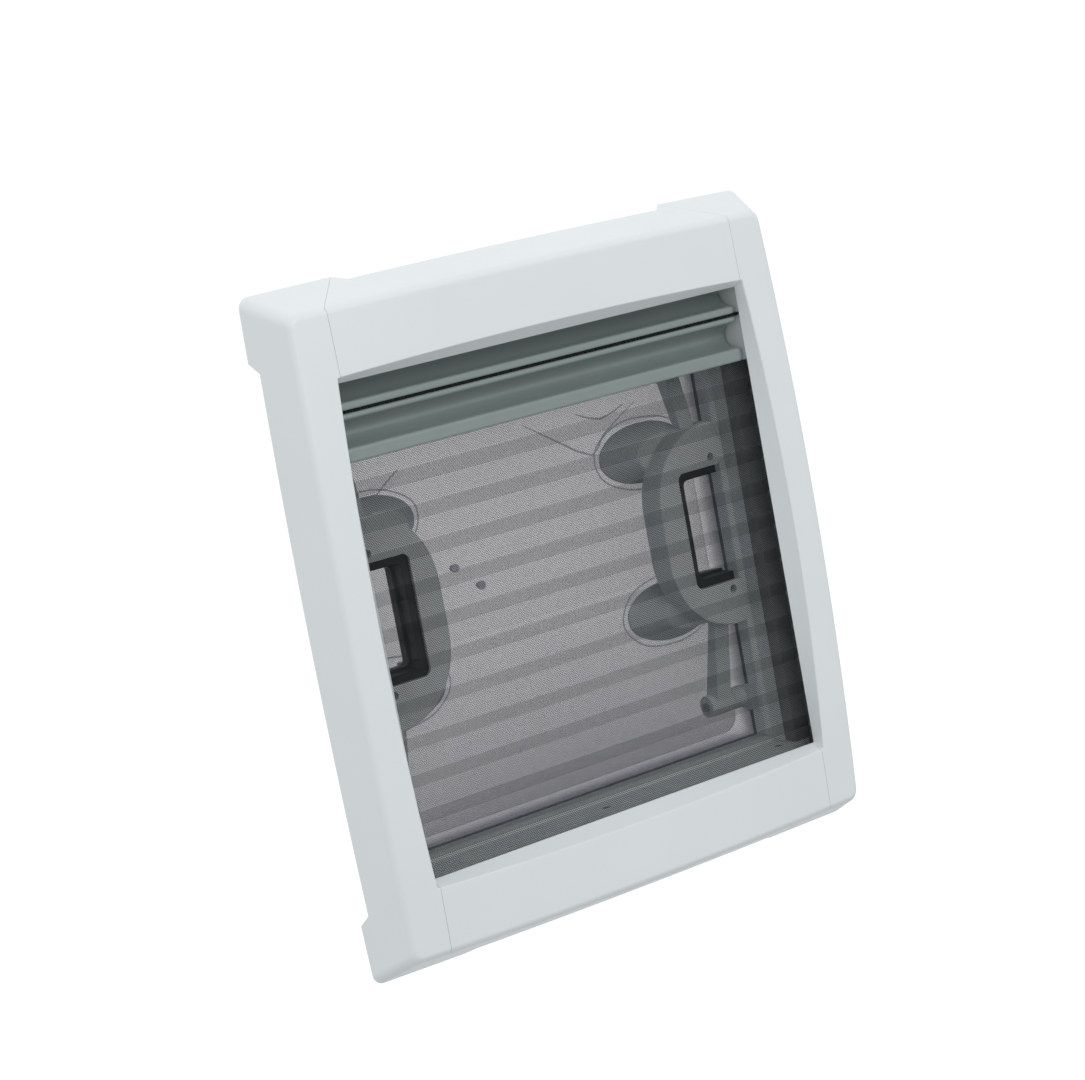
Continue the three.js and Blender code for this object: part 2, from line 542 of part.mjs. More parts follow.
// The black lining of the finger gap is the release: it slides into the grip when it is squeezed.
function trigger(side, sign) {
  const half = FINGER_HALF_Z - SLIDE_GAP;
  const inner = half - TRIGGER_LINING;
  const face = FINGER_GAP_X + TRIGGER_LINING;
  const s = new THREE.Shape();
  s.moveTo(FINGER_GAP_X - TRIGGER_TUCK, -half);
  s.lineTo(HANDLE_TIP_X - 3, -half);
  s.lineTo(HANDLE_TIP_X - 3, -inner);
  s.lineTo(face + 5, -inner);
  s.quadraticCurveTo(face, -inner, face, 5 - inner);
  s.lineTo(face, inner - 5);
  s.quadraticCurveTo(face, inner, face + 5, inner);
  s.lineTo(HANDLE_TIP_X - 3, inner);
  s.lineTo(HANDLE_TIP_X - 3, half);
  s.lineTo(FINGER_GAP_X - TRIGGER_TUCK, half);
  const body = prism(s, 'y', HANDLE_BOTTOM + TRIGGER_RECESS + SLIDE_GAP, HANDLE_TOP - 1, 4);
  const feet = [1, -1].map((level) => handleFoot(level));
  add(`trigger_${side}`, mirrored(cut(body, ...feet), sign), BLACK);
}

// ---- arms ----------------------------------------------------------------------------------
function armOutline() {
  const reach = new THREE.Vector2(ARM_TIP_Y - PIVOT_Y, ARM_TIP_Z - PIVOT_Z);
  const length = reach.length();
  const s = new THREE.Shape();
  s.absarc(0, 0, HUB_RADIUS - 1.5, Math.PI / 2, 1.5 * Math.PI, false);
  s.absarc(length, 0, ARM_TIP_RADIUS, -Math.PI / 2, Math.PI / 2, false);
  return { shape: s, angle: reach.angle() };
}

function arm(side, sign, level, way) {
  const { shape, angle } = armOutline();
  const flat = new THREE.ExtrudeGeometry(shape, { depth: ARM_X[1] - ARM_X[0], bevelEnabled: false, curveSegments: 8 });
  const place = new THREE.Matrix4().set(0, 0, 1, ARM_X[0], 1, 0, 0, 0, 0, 1, 0, 0, 0, 0, 0, 1);
  const blade = bare(flat.rotateZ(angle).applyMatrix4(place)).translate(0, PIVOT_Y, PIVOT_Z);
  const hub = rod('x', HUB_RADIUS, ...HUB_X, [PIVOT_Y, PIVOT_Z], 20);
  const bore = rod('x', PIN_RADIUS + TOUCH_GAP, HUB_X[0] - 1, HUB_X[1] + 1, [PIVOT_Y, PIVOT_Z]);
  const body = cut(join(blade, hub), bore);
  if (way < 0) turnOutward(body.scale(1, 1, -1));
  add(`arm_${level}_${side}`, mirrored(body, sign), GREY);

  const plateIn = UPSTAND_IN - BRACKET_GAP - BRACKET_PLATE;
  const at = [PIVOT_Y, way * PIVOT_Z];
  const plate = new THREE.Shape();
  plate.moveTo(FLANGE_Y - 4, way * (PIVOT_Z - 13));
  plate.lineTo(FLANGE_Y - 4, way * (PIVOT_Z + 13));
  plate.lineTo(PIVOT_Y, way * (PIVOT_Z + HUB_RADIUS));
  plate.absarc(PIVOT_Y, way * PIVOT_Z, HUB_RADIUS, way * Math.PI / 2, -way * Math.PI / 2, way > 0);
  const lug = rod('x', HUB_RADIUS, HUB_X[1] + TOUCH_GAP, plateIn + 1, at, 20);
  const hole = rod('x', PIN_RADIUS + TOUCH_GAP, HUB_X[1], plateIn + BRACKET_PLATE + 1, at);
  const bracket = cut(join(prism(plate, 'x', plateIn, plateIn + BRACKET_PLATE), lug), hole);
  add(`arm_bracket_${level}_${side}`, mirrored(bracket, sign), GREY);

  const pin = join(rod('x', PIN_RADIUS, HUB_X[0] - 1, plateIn + BRACKET_PLATE - 1, at),
    rod('x', PIN_RADIUS + 1.5, HUB_X[0] - 2 - TOUCH_GAP, HUB_X[0] - TOUCH_GAP, at));
  add(`arm_pin_${level}_${side}`, mirrored(pin, sign), STEEL);
}

// ---- blinds --------------------------------------------------------------------------------
function railPlace(top, { height, lip, topLip }) {
  const bottom = top - height;
  return { bottom, lipTop: bottom + lip, lipBottom: top - topLip, top };
}

// A blind rail: two lips towards the room and a hollowed web between them.
function blindRail({ bottom, lipTop, lipBottom, top }) {
  const s = new THREE.Shape();
  const nose = 3;
  s.moveTo(RAIL_BACK, bottom);
  s.lineTo(RAIL_FRONT + nose, bottom);
  s.quadraticCurveTo(RAIL_FRONT, bottom, RAIL_FRONT, bottom + nose);
  s.lineTo(RAIL_FRONT, lipTop - nose);
  s.quadraticCurveTo(RAIL_FRONT, lipTop, RAIL_FRONT + nose, lipTop);
  s.quadraticCurveTo(RAIL_BACK - 3, lipTop + 1, RAIL_BACK - 3, lipBottom);
  s.lineTo(RAIL_FRONT + 2, lipBottom);
  s.quadraticCurveTo(RAIL_FRONT, (lipBottom + top) / 2, RAIL_FRONT + 2, top);
  s.lineTo(RAIL_BACK, top);
  return prism(s, 'x', -RAIL_END_X, RAIL_END_X, 5);
}

// A rail's end closes its hollow and slides in the guide behind the side member.
function railEnds(name, { bottom, top }) {
  const chamfer = 3;
  const front = RAIL_FRONT + 2 * TOUCH_GAP;
  const back = RAIL_BACK - TOUCH_GAP;
  const section = [[back, bottom], [front + chamfer, bottom], [front, bottom + chamfer],
    [front, top - chamfer], [front + chamfer, top], [back, top]];
  for (const [side, sign] of SIDES) {
    const [from, to] = [RAIL_END_X + TOUCH_GAP, GUIDE_IN - SLIDE_GAP];
    add(`${name}_end_${side}`, mirrored(prism(section, 'x', from, to), sign), GREY);
  }
}

function pleats(bottom, top, pairs, thickness) {
  const line = [];
  for (let i = 0; i <= 2 * pairs; i += 1) {
    line.push([i % 2 ? PLEAT_FRONT : PLEAT_BACK, bottom + (top - bottom) * i / (2 * pairs)]);
  }
  const back = line.map(([y, z]) => [y + thickness, z]).reverse();
  return prism([...line, ...back], 'x', -BLIND_HALF_X, BLIND_HALF_X);
}

function blinds() {
  add('fly_screen_rail', blindRail(FLY_RAIL), RAIL_GREY);
  add('blackout_rail', blindRail(BLACKOUT_RAIL), RAIL_GREY);
  railEnds('fly_rail', FLY_RAIL);
  railEnds('blackout_rail', BLACKOUT_RAIL);
  add('brush_seal', box([-RAIL_END_X, RAIL_END_X], [RAIL_FRONT + 1.5, RAIL_BACK],
    [FLY_RAIL.top + TOUCH_GAP, BLACKOUT_RAIL.bottom - TOUCH_GAP]), BLACK);
  add('fly_screen', pleats(-BLIND_END_Z + TOUCH_GAP, FLY_RAIL.bottom - TOUCH_GAP, SCREEN_PAIRS,
    SCREEN_THICKNESS), SCREEN);
  add('blackout_blind', pleats(BLACKOUT_RAIL.top + TOUCH_GAP, BLIND_END_Z - TOUCH_GAP, SCREEN_PAIRS,
    SCREEN_THICKNESS), BLIND);
}

// The guides' slides stand behind the side members and run the whole height inside the frame. Their
// collar goes into the outer frame, as the cassettes' collars do.
function guides() {
  const front = REVEAL_BACK + 2 * TOUCH_GAP;
  const floor = [RAIL_BACK + TOUCH_GAP / 2, NECK_START - TOUCH_GAP];
  for (const [side, sign] of SIDES) {
    const slide = box([sign * GUIDE_IN, sign * GUIDE_OUT], [front, floor[1]], [-BLIND_END_Z, BLIND_END_Z]);
    const web = box([sign * PANEL_IN, sign * GUIDE_OUT], floor, [TOUCH_GAP - PANEL_IN, PANEL_IN - TOUCH_GAP]);
    const collar = box([sign * PANEL_IN, sign * PANEL_OUT], [floor[0], COLLAR_END],
      [TOUCH_GAP - PANEL_IN, PANEL_IN - TOUCH_GAP]);
    const hole = screwRod({ wall: side, sign, along: 0 }, SCREW_HEAD + TOUCH_GAP, PANEL_IN - 1, PANEL_OUT + 1);
    add(`blind_guide_${side}`, cut(join(slide, web, collar), hole), WHITE);
  }
}

function cassettes() {
  const back = RAIL_BACK + TOUCH_GAP;
  const behind = NECK_START - TOUCH_GAP;
  const outer = BLIND_END_Z + PANEL_WALL;
  const collar = [[COLLAR_END, PANEL_IN], [COLLAR_END, PANEL_OUT], [back, PANEL_OUT], [back, PANEL_IN]];
  const tray = [[behind, PANEL_IN], [behind, outer], [RAIL_FRONT, outer], [RAIL_FRONT, BLIND_END_Z],
    [back, BLIND_END_Z], [back, PANEL_IN]];
  for (const [level, sign] of LEVELS) {
    const run = (section, half) => prism(section.map(([y, z]) => [y, sign * z]), 'x', -half, half);
    let channel = join(run(collar, PANEL_IN - 2 * TOUCH_GAP), run(tray, GUIDE_IN - TOUCH_GAP));
    for (const place of screwPlaces().filter((s) => s.wall === level)) {
      channel = cut(channel, screwRod(place, SCREW_HEAD + TOUCH_GAP, PANEL_IN - 1, PANEL_OUT + 1));
    }
    add(`blind_cassette_${level}`, channel, WHITE);
  }
}

frame();
outerFrame();
frameScrews();
dome();
for (const [side, sign] of SIDES) {
  handle(side, sign);
  trigger(side, sign);
  for (const [level, way] of LEVELS) arm(side, sign, level, way);
}
blinds();
guides();
cassettes();

export default roofLight;
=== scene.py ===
# %% [markdown]
# # A camper's roof light
# The object is a square roof light seen from the room: a white moulded frame, two grey blind rails, a
# pleated fly screen and, behind it, a clear dome with two push-up handles. Every cell makes one piece
# or one finish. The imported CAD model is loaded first, and every place and size below comes from it.

# %% Load the frame
import bpy
import json
import math
import random
from mathutils import Matrix, Vector


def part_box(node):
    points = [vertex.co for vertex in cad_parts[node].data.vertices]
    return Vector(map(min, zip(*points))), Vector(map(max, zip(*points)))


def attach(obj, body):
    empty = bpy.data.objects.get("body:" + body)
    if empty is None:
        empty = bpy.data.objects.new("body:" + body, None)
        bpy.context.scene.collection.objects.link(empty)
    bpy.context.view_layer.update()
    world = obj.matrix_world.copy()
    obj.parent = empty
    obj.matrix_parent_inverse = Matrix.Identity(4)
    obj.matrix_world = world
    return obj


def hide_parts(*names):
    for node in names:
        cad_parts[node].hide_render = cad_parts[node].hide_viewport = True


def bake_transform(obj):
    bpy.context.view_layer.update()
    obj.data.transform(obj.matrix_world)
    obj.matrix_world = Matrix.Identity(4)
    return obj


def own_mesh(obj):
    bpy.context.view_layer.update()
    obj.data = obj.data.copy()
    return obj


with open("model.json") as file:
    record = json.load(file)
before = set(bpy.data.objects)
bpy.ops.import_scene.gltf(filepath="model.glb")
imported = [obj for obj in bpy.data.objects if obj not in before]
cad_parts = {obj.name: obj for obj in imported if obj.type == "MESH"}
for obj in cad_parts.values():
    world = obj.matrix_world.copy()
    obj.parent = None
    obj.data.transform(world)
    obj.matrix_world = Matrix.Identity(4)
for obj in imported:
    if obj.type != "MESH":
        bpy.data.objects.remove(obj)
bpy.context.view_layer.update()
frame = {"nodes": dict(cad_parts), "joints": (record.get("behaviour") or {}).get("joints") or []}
MM = 0.001
SIDES = (("left", -1), ("right", 1))
LEVELS = (("top", 1), ("bottom", -1))


def box_mm(node):
    """Lowest and highest corner of a CAD node, in millimetres."""
    low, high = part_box(node)
    return [v / MM for v in low], [v / MM for v in high]


# %% [markdown]
# ## Camera
# The camera looks a little down and across from the left, with a long lens, and it is rolled, so that
# the object leans. A long lens keeps the frame's sides nearly parallel.

# %% Camera
CAMERA = {"lens": 97.28, "azimuth": -33.25, "elevation": 8.76, "roll": -10.59, "distance": 2224.4,
          "target": (-39.8, -42.0, 36.7)}


def make_camera(settings):
    azimuth, elevation, roll = (math.radians(settings[k]) for k in ("azimuth", "elevation", "roll"))
    back = Vector((math.sin(azimuth) * math.cos(elevation), -math.cos(azimuth) * math.cos(elevation),
                   math.sin(elevation)))
    right = Vector((0, 0, 1)).cross(back).normalized()
    up = back.cross(right)
    tilted_right = math.cos(roll) * right + math.sin(roll) * up
    tilted_up = math.cos(roll) * up - math.sin(roll) * right
    data = bpy.data.cameras.new("camera")
    data.lens = settings["lens"]
    data.sensor_width = 36
    data.sensor_fit = "HORIZONTAL"
    data.clip_end = 50
    camera = bpy.data.objects.new("camera", data)
    place = Vector(settings["target"]) * MM + back * settings["distance"] * MM
    axes = Matrix((tilted_right, tilted_up, back)).transposed().to_4x4()
    camera.matrix_world = Matrix.Translation(place) @ axes
    bpy.context.scene.collection.objects.link(camera)
    bpy.context.scene.camera = camera
    return camera


make_camera(CAMERA)
print("camera set")

# %% [markdown]
# ## Tools for shapes
# Each shape is a list of points in millimetres, turned into a mesh. A prism is an outline pushed along
# an axis, as an extruded rail is. A loft joins loops of equal length, as a moulded shell needs. Cuts
# are Boolean modifiers whose result is kept, so that a piece is one plain mesh in the end.

# %% Mesh helpers
SMOOTH_ANGLE = 35                  # an edge sharper than this stays crisp
CUT_ANGLE = 40                     # the same, for a piece that is cut after its edges are rounded
ROUNDED_FROM = 40                  # an edge sharper than this is rounded
PAST = 1                           # how far a cutting tool reaches past what it cuts


def finish_mesh(thing, smooth=SMOOTH_ANGLE):
    for face in thing.data.polygons:
        face.use_smooth = True
    thing.data.set_sharp_from_angle(angle=math.radians(smooth))
    return thing


def make(name, points, faces, smooth=SMOOTH_ANGLE):
    data = bpy.data.meshes.new(name)
    data.from_pydata([Vector(p) * MM for p in points], [], faces)
    data.validate()
    thing = bpy.data.objects.new(name, data)
    bpy.context.scene.collection.objects.link(thing)
    turn_outward(thing)
    return finish_mesh(thing, smooth)


def turn_outward(thing):
    """Flips the mesh if its faces point inwards, which a closed mesh shows by a negative volume."""
    mesh = thing.data
    mesh.calc_loop_triangles()
    volume = sum(mesh.vertices[t.vertices[0]].co.dot(
        mesh.vertices[t.vertices[1]].co.cross(mesh.vertices[t.vertices[2]].co)) for t in mesh.loop_triangles)
    if volume < 0:
        mesh.flip_normals()


def applied(thing, smooth=SMOOTH_ANGLE):
    """Keeps what the modifiers make as the object's own mesh."""
    graph = bpy.context.evaluated_depsgraph_get()
    mesh = bpy.data.meshes.new_from_object(thing.evaluated_get(graph))
    thing.modifiers.clear()
    thing.data = mesh
    return finish_mesh(thing, smooth)


def combine(thing, tool, operation):
    """Cuts, joins or keeps the common part of two meshes, and removes the tool."""
    modifier = thing.modifiers.new(operation.lower(), "BOOLEAN")
    modifier.operation = operation
    modifier.solver = "MANIFOLD"
    modifier.object = tool
    applied(thing)
    bpy.data.objects.remove(tool)
    return thing


def soften(thing, width, segments=3):
    """Rounds the edges, as a mould does."""
    modifier = thing.modifiers.new("soften", "BEVEL")
    modifier.width = width * MM
    modifier.segments = segments
    modifier.limit_method = "ANGLE"
    modifier.angle_limit = math.radians(ROUNDED_FROM)
    modifier.use_clamp_overlap = True
    return applied(thing, smooth=50)


def mirrored(thing, side_sign, level_sign=1):
    """Turns a top right piece into its mirror image at the left, at the bottom or both."""
    for sign, scale in ((level_sign, (1, 1, -1, 1)), (side_sign, (-1, 1, 1, 1))):
        if sign < 0:
            thing.data.transform(Matrix.Diagonal(scale))
            thing.data.flip_normals()
    return thing


def prism(name, outline, axis, start, end):
    """outline is in the two other axes, in XYZ order."""
    def place(u, v, w):
        return {"x": (w, u, v), "y": (u, w, v), "z": (u, v, w)}[axis]
    count = len(outline)
    points = [place(u, v, w) for w in (start, end) for u, v in outline]
    faces = [tuple(range(count - 1, -1, -1)), tuple(range(count, 2 * count))]
    faces += [(i, (i + 1) % count, count + (i + 1) % count, count + i) for i in range(count)]
    return make(name, points, faces)


def block(name, x, y, z):
    return prism(name, [(x[0], y[0]), (x[1], y[0]), (x[1], y[1]), (x[0], y[1])], "z", z[0], z[1])


def rod(name, axis, radius, start, end, centre, sides=40):
    ring = [(centre[0] + radius * math.cos(a), centre[1] + radius * math.sin(a))
            for a in (2 * math.pi * i / sides for i in range(sides))]
    return prism(name, ring, axis, start, end)


def loft(name, loops, ring=False, smooth=SMOOTH_ANGLE):
    """Joins loops of equal length into one skin. A ring has no end caps: it closes on its first loop."""
    count = len(loops[0])
    points = [p for loop in loops for p in loop]
    faces = []
    for j in range(len(loops) if ring else len(loops) - 1):
        below, above = j * count, (j + 1) % len(loops) * count
        faces += [(below + i, below + (i + 1) % count, above + (i + 1) % count, above + i)
                  for i in range(count)]
    if not ring:
        faces += [tuple(range(count - 1, -1, -1)), tuple(range(len(points) - count, len(points)))]
    return make(name, points, faces, smooth)


def rounded(half_x, half_z, radius, bow_x=0, bow_z=0, edge_steps=1, corner_steps=8):
    """Points round a rectangle with rounded corners, whose sides may bow outwards."""
    points = []
    for corner in range(4):
        sx = 1 if corner in (0, 3) else -1
        sz = 1 if corner < 2 else -1
        for i in range(corner_steps + 1):
            angle = (corner + i / corner_steps) * math.pi / 2
            points.append((sx * (half_x - radius) + radius * math.cos(angle),
                           sz * (half_z - radius) + radius * math.sin(angle)))
        for i in range(1, edge_steps):
            t = 1 - 2 * i / edge_steps
            bow = 1 - t * t
            if corner % 2 == 0:
                points.append((sx * t * (half_x - radius), sz * (half_z + bow_z * bow)))
            else:
                points.append((sx * (half_x + bow_x * bow), sz * t * (half_z - radius)))
    return points


def arc(centre, radius, start, end, steps=8):
    return [(centre[0] + radius * math.cos(math.radians(a)), centre[1] + radius * math.sin(math.radians(a)))
            for a in (start + (end - start) * i / steps for i in range(steps + 1))]


def curve(a, b, c, steps=10):
    """A quadratic curve from a to c that leans towards b, without its first point."""
    return [tuple((1 - t) ** 2 * a[k] + 2 * t * (1 - t) * b[k] + t * t * c[k] for k in (0, 1))
            for t in (i / steps for i in range(1, steps + 1))]


def cubic(a, b, c, d, steps=12):
    """A cubic curve from a to d that leans towards b and c, without its first point."""
    return [tuple((1 - t) ** 3 * a[k] + 3 * t * (1 - t) ** 2 * b[k] + 3 * t * t * (1 - t) * c[k]
                  + t ** 3 * d[k] for k in (0, 1)) for t in (i / steps for i in range(1, steps + 1))]


# %% [markdown]
# ## Tools for finishes
# A material is a small network of nodes. One function adds a node, sets it and links it. Colours are
# given as the hex values that a designer would write, and are turned to the linear values that the
# renderer works in. Pattern scales are worked out from sizes in millimetres.

# %% Material helpers
def linear(hex_colour):
    values = [int(hex_colour[i:i + 2], 16) / 255 for i in (1, 3, 5)]
    return tuple(v / 12.92 if v <= 0.04045 else ((v + 0.055) / 1.055) ** 2.4 for v in values) + (1.0,)


def per_metre(size_mm):
    """The scale of a pattern whose repeat is size_mm across."""
    return 1 / (size_mm * MM)


def node(tree, kind, inputs=None, **settings):
    made = tree.nodes.new(kind)
    for key, value in settings.items():
        setattr(made, key, value)
    for key, value in (inputs or {}).items():
        if isinstance(value, bpy.types.NodeSocket):
            tree.links.new(value, made.inputs[key])
        else:
            made.inputs[key].default_value = value
    return made


def new_material(name, **sockets):
    """A material with one Principled shader, whose sockets are set by name."""
    material = bpy.data.materials.new(name)
    material.use_nodes = True
    tree = material.node_tree
    tree.nodes.clear()
    shader = node(tree, "ShaderNodeBsdfPrincipled", {k.replace("_", " "): v for k, v in sockets.items()})
    node(tree, "ShaderNodeOutputMaterial", {"Surface": shader.outputs["BSDF"]})
    return material, tree, shader


NOISE_LOW, NOISE_HIGH = 0.3, 0.7   # nearly all of a noise's values lie between these


def patches(tree, size_mm, detail=3, sharpness=0.5):
    """A random pattern fixed to the object, whose patches are size_mm across."""
    where = node(tree, "ShaderNodeTexCoord").outputs["Object"]
    return node(tree, "ShaderNodeTexNoise", {"Vector": where, "Scale": per_metre(size_mm),
                "Detail": detail, "Roughness": sharpness}).outputs["Fac"]


def mottled(tree, shader, light, dark, size_mm, detail=3):
    """Lets the colour drift between two close tones."""
    mix = node(tree, "ShaderNodeMix", {"Factor": patches(tree, size_mm, detail), "A": linear(light),
               "B": linear(dark)}, data_type="RGBA")
    tree.links.new(mix.outputs["Result"], shader.inputs["Base Color"])


def uneven_gloss(tree, shader, low, high, size_mm, detail=3):
    """Lets the roughness drift from low to high."""
    spread = node(tree, "ShaderNodeMapRange", {"Value": patches(tree, size_mm, detail),
                  "From Min": NOISE_LOW, "From Max": NOISE_HIGH, "To Min": low, "To Max": high})
    tree.links.new(spread.outputs["Result"], shader.inputs["Roughness"])


def raised(tree, shader, height, strength, depth_mm):
    """Gives the surface a fine relief."""
    bump = node(tree, "ShaderNodeBump", {"Height": height, "Strength": strength, "Distance": depth_mm * MM})
    tree.links.new(bump.outputs["Normal"], shader.inputs["Normal"])


def moulded(name, light, dark, rough, grain_mm, grain_depth, alpha=1.0):
    """A moulded plastic: its colour and gloss are slightly uneven, and it has the mould's grain."""
    material, tree, shader = new_material(name, IOR=1.53, Alpha=alpha)
    mottled(tree, shader, light, dark, 60)
    uneven_gloss(tree, shader, rough - 0.04, rough + 0.04, 9)
    raised(tree, shader, patches(tree, grain_mm, 2, 0.6), 0.35, grain_depth)
    return material


# %% [markdown]
# ### Finishes of the moulded and extruded pieces
# The frame is white ABS from a polished mould, so it is smooth with a soft gloss and a faint cool cast.
# The outer frame's ABS is duller. The handles and arms are light grey glass-filled nylon from a
# spark-eroded mould, and the blind guides are mid-grey ASA: both have a fine dull grain. The seals are
# extruded, so they are dull and nearly smooth. The rails are aluminium with a satin powder coat: a
# little sparkle, and a softly uneven surface. Each line below gives a light and a dark tone, the
# roughness, and the width and depth of the grain in millimetres.

# %% Plastic and metal
abs_white = moulded("abs_polished_white", "#f3f5f5", "#eef1f1", 0.34, 1.6, 0.02)
abs_white_inner = moulded("abs_white_inner", "#eceeee", "#e4e8e7", 0.5, 0.9, 0.03)
asa_grey = moulded("asa_grained_grey", "#8f9190", "#868887", 0.55, 0.7, 0.05)
nylon_grey = moulded("nylon_grained_grey", "#dcdfdf", "#d3d6d6", 0.52, 0.6, 0.05)
nylon_black = moulded("nylon_grained_black", "#1e2022", "#18191b", 0.45, 0.6, 0.05)
# soft natural polyethylene lets light through
polyethylene = moulded("polyethylene_plug", "#c8c8d8", "#c0c0d0", 0.5, 0.8, 0.03, alpha=0.6)
epdm = moulded("epdm_extruded", "#7c7e7e", "#747676", 0.7, 0.5, 0.06)
butyl = moulded("butyl_tape", "#2a2b2c", "#202122", 0.6, 1.2, 0.1)
pile_black = moulded("nylon_pile", "#121314", "#0c0d0e", 0.85, 0.3, 0.05)


def powder_coat(name, light, dark):
    """Baked powder: the grains flow into one skin with a faint orange-peel."""
    material, tree, shader = new_material(name, IOR=1.5, Metallic=0.15)
    mottled(tree, shader, light, dark, 25)
    uneven_gloss(tree, shader, 0.28, 0.38, 3)
    raised(tree, shader, patches(tree, 0.9, 3, 0.6), 0.4, 0.03)
    return material


rail_grey = powder_coat("powder_coated_aluminium", "#949e9c", "#8c9694")


def zinc_plate():
    """Zinc-plated steel: bright, a little blue, with a soft bloom."""
    material, tree, shader = new_material("zinc_plated_steel", Metallic=1.0)
    mottled(tree, shader, "#a9adb2", "#8d9196", 4)
    uneven_gloss(tree, shader, 0.28, 0.4, 1.5, 2)
    return material


zinc = zinc_plate()
print("finishes", len(bpy.data.materials))

# %% [markdown]
# ### Clear acrylic
# The dome is acrylic sheet, blown to shape: clear and glossy. Real refraction through four thin walls is
# slow and adds little, so each wall is mostly see-through with a clear gloss on top. A wall hides more
# when it is seen at a steep angle. Towards the shell's rim and the pane's lower edge it also shows more of
# the sheet's blue-grey tint, so it reads darker there: this is painted shade.

# %% Acrylic
ACRYLIC_TINT = "#484b72"
CLEAR, STEEP = 0.055, 0.6          # how much a wall hides, seen square on and at a steep angle
STEEP_FROM = 0.35                  # how soon an angle counts as steep


def clear_acrylic(name, axis, start, end, shade_share):
    """Between start and end, in mm along the axis, painted shade darkens the wall, from the given share to
    none.
    """
    material, tree, shader = new_material(name, Roughness=0.05, IOR=1.49)
    shader.inputs["Base Color"].default_value = linear(ACRYLIC_TINT)
    slant = node(tree, "ShaderNodeLayerWeight", {"Blend": STEEP_FROM}).outputs["Facing"]
    clear = node(tree, "ShaderNodeMapRange", {"Value": slant, "To Min": CLEAR, "To Max": STEEP})
    where = node(tree, "ShaderNodeTexCoord").outputs["Object"]
    along = node(tree, "ShaderNodeSeparateXYZ", {"Vector": where}).outputs[axis]
    # painted shade: the wall hides more towards one end, so it reads darker there
    painted_shade = node(tree, "ShaderNodeMapRange", {"Value": along, "From Min": start * MM, "From Max": end * MM,
                "To Min": shade_share, "To Max": 0.0})
    alpha = node(tree, "ShaderNodeMath", {0: clear.outputs["Result"], 1: painted_shade.outputs["Result"]},
                 operation="ADD", use_clamp=True)
    tree.links.new(alpha.outputs[0], shader.inputs["Alpha"])
    return material


# %% [markdown]
# ### Woven fly screen
# The screen is woven of coated glass-fibre yarn, about 15 threads to the inch, then pleated. Cut out as
# real threads it would need a million faces, so the weave is a pattern that leaves holes: the sheet's
# own coordinates run along and across the cloth in millimetres, and only the yarn is opaque. On every
# facet that leans down the threads are drawn wider, so it looks darker. This is partly because its yarn is
# seen from the side, and partly painted shade for the light from above that the facet misses.

# %% Fly screen finish
MESH_PITCH = 1.7                   # from one thread to the next
THREAD = 0.38                      # yarn thickness, seen square on
THREAD_LEANING_SHADED = 0.54              # and on a facet that leans down, drawn wider partly as painted shade


def woven_screen(facet_mm):
    """The facets follow one another up the cloth, and every other one leans down."""
    material, tree, shader = new_material("woven_glass_fibre_screen", Roughness=0.55, IOR=1.5)
    where = node(tree, "ShaderNodeUVMap", uv_map="cloth_mm").outputs["UV"]
    split = node(tree, "ShaderNodeSeparateXYZ", {"Vector": where})

    def share_of(axis, repeat):
        turn = node(tree, "ShaderNodeMath", {0: split.outputs[axis], 1: repeat}, operation="DIVIDE")
        return node(tree, "ShaderNodeMath", {0: turn.outputs[0]}, operation="FRACT").outputs[0]

    def under(value, limit):
        return node(tree, "ShaderNodeMath", {0: value, 1: limit}, operation="LESS_THAN").outputs[0]

    # every other facet gets wider threads and reads darker: partly its yarn seen from the side, partly
    # painted shade
    leans = under(share_of("Y", 2 * facet_mm), 0.5)
    width = node(tree, "ShaderNodeMapRange", {"Value": leans, "To Min": THREAD / MESH_PITCH,
                 "To Max": THREAD_LEANING_SHADED / MESH_PITCH}).outputs["Result"]
    threads = [under(share_of(axis, MESH_PITCH), width) for axis in ("X", "Y")]
    yarn = node(tree, "ShaderNodeMath", {0: threads[0], 1: threads[1]}, operation="MAXIMUM").outputs[0]
    tree.links.new(yarn, shader.inputs["Alpha"])
    mottled(tree, shader, "#303135", "#27282c", 6)
    return material


print("screen threads per inch", round(25.4 / MESH_PITCH, 1))

# %% [markdown]
# ## Driving sizes
# The room is on the -Y side. The frame's front corners are at FRONT, the ceiling is at 0 and the roof is
# behind it. The places that pieces share are read from the CAD nodes, and the sizes that no node's box
# shows are repeated here, so that a finer piece takes up the room of the plain one that it stands for.

# %% Driving sizes
CROWN = 5.6                        # how far the face swells towards the room
FRONT = box_mm("frame_side_right")[0][1] + CROWN
OPENING_HALF = 188.5               # clear opening at the back of the reveal
SIDE_WIDTH, RAIL_WIDTH = 31, 55    # of the face, beside the opening and above it
FACE_HALF_X, FACE_HALF_Z = OPENING_HALF + SIDE_WIDTH, OPENING_HALF + RAIL_WIDTH
FLARE_X, FLARE_Z = 14.5, 18.5      # the skirt is this much wider at the ceiling
BULGE_X, BULGE_Z = 4, 2            # bow of the outline at the middle of each side
REVEAL_DEPTH = 7.3
REVEAL_FLARE_X, REVEAL_FLARE_Z = 1, 4.5
REVEAL_BOW_X, REVEAL_BOW_Z = 7.3, 4
FRAME_WALL = 2.5
OUTLINE_RADIUS = 9
ARRIS_RADIUS = 4
RECESS = 9                         # air gap under the skirt between the feet
FOOT_END_Z, WING_END_X = 214, 153  # where a corner's foot and wing end, from the middle
FOOT_SLOPE = 8                     # run of the slope that ends them
SEAM_GAP = 0.3
SEAM_X = box_mm("frame_rail_top")[1][0] + SEAM_GAP
REVEAL_BACK = FRONT + REVEAL_DEPTH
FAR = 600                          # longer than anything here, for cutting tools
print("front corners at", FRONT, "seams at", SEAM_X)

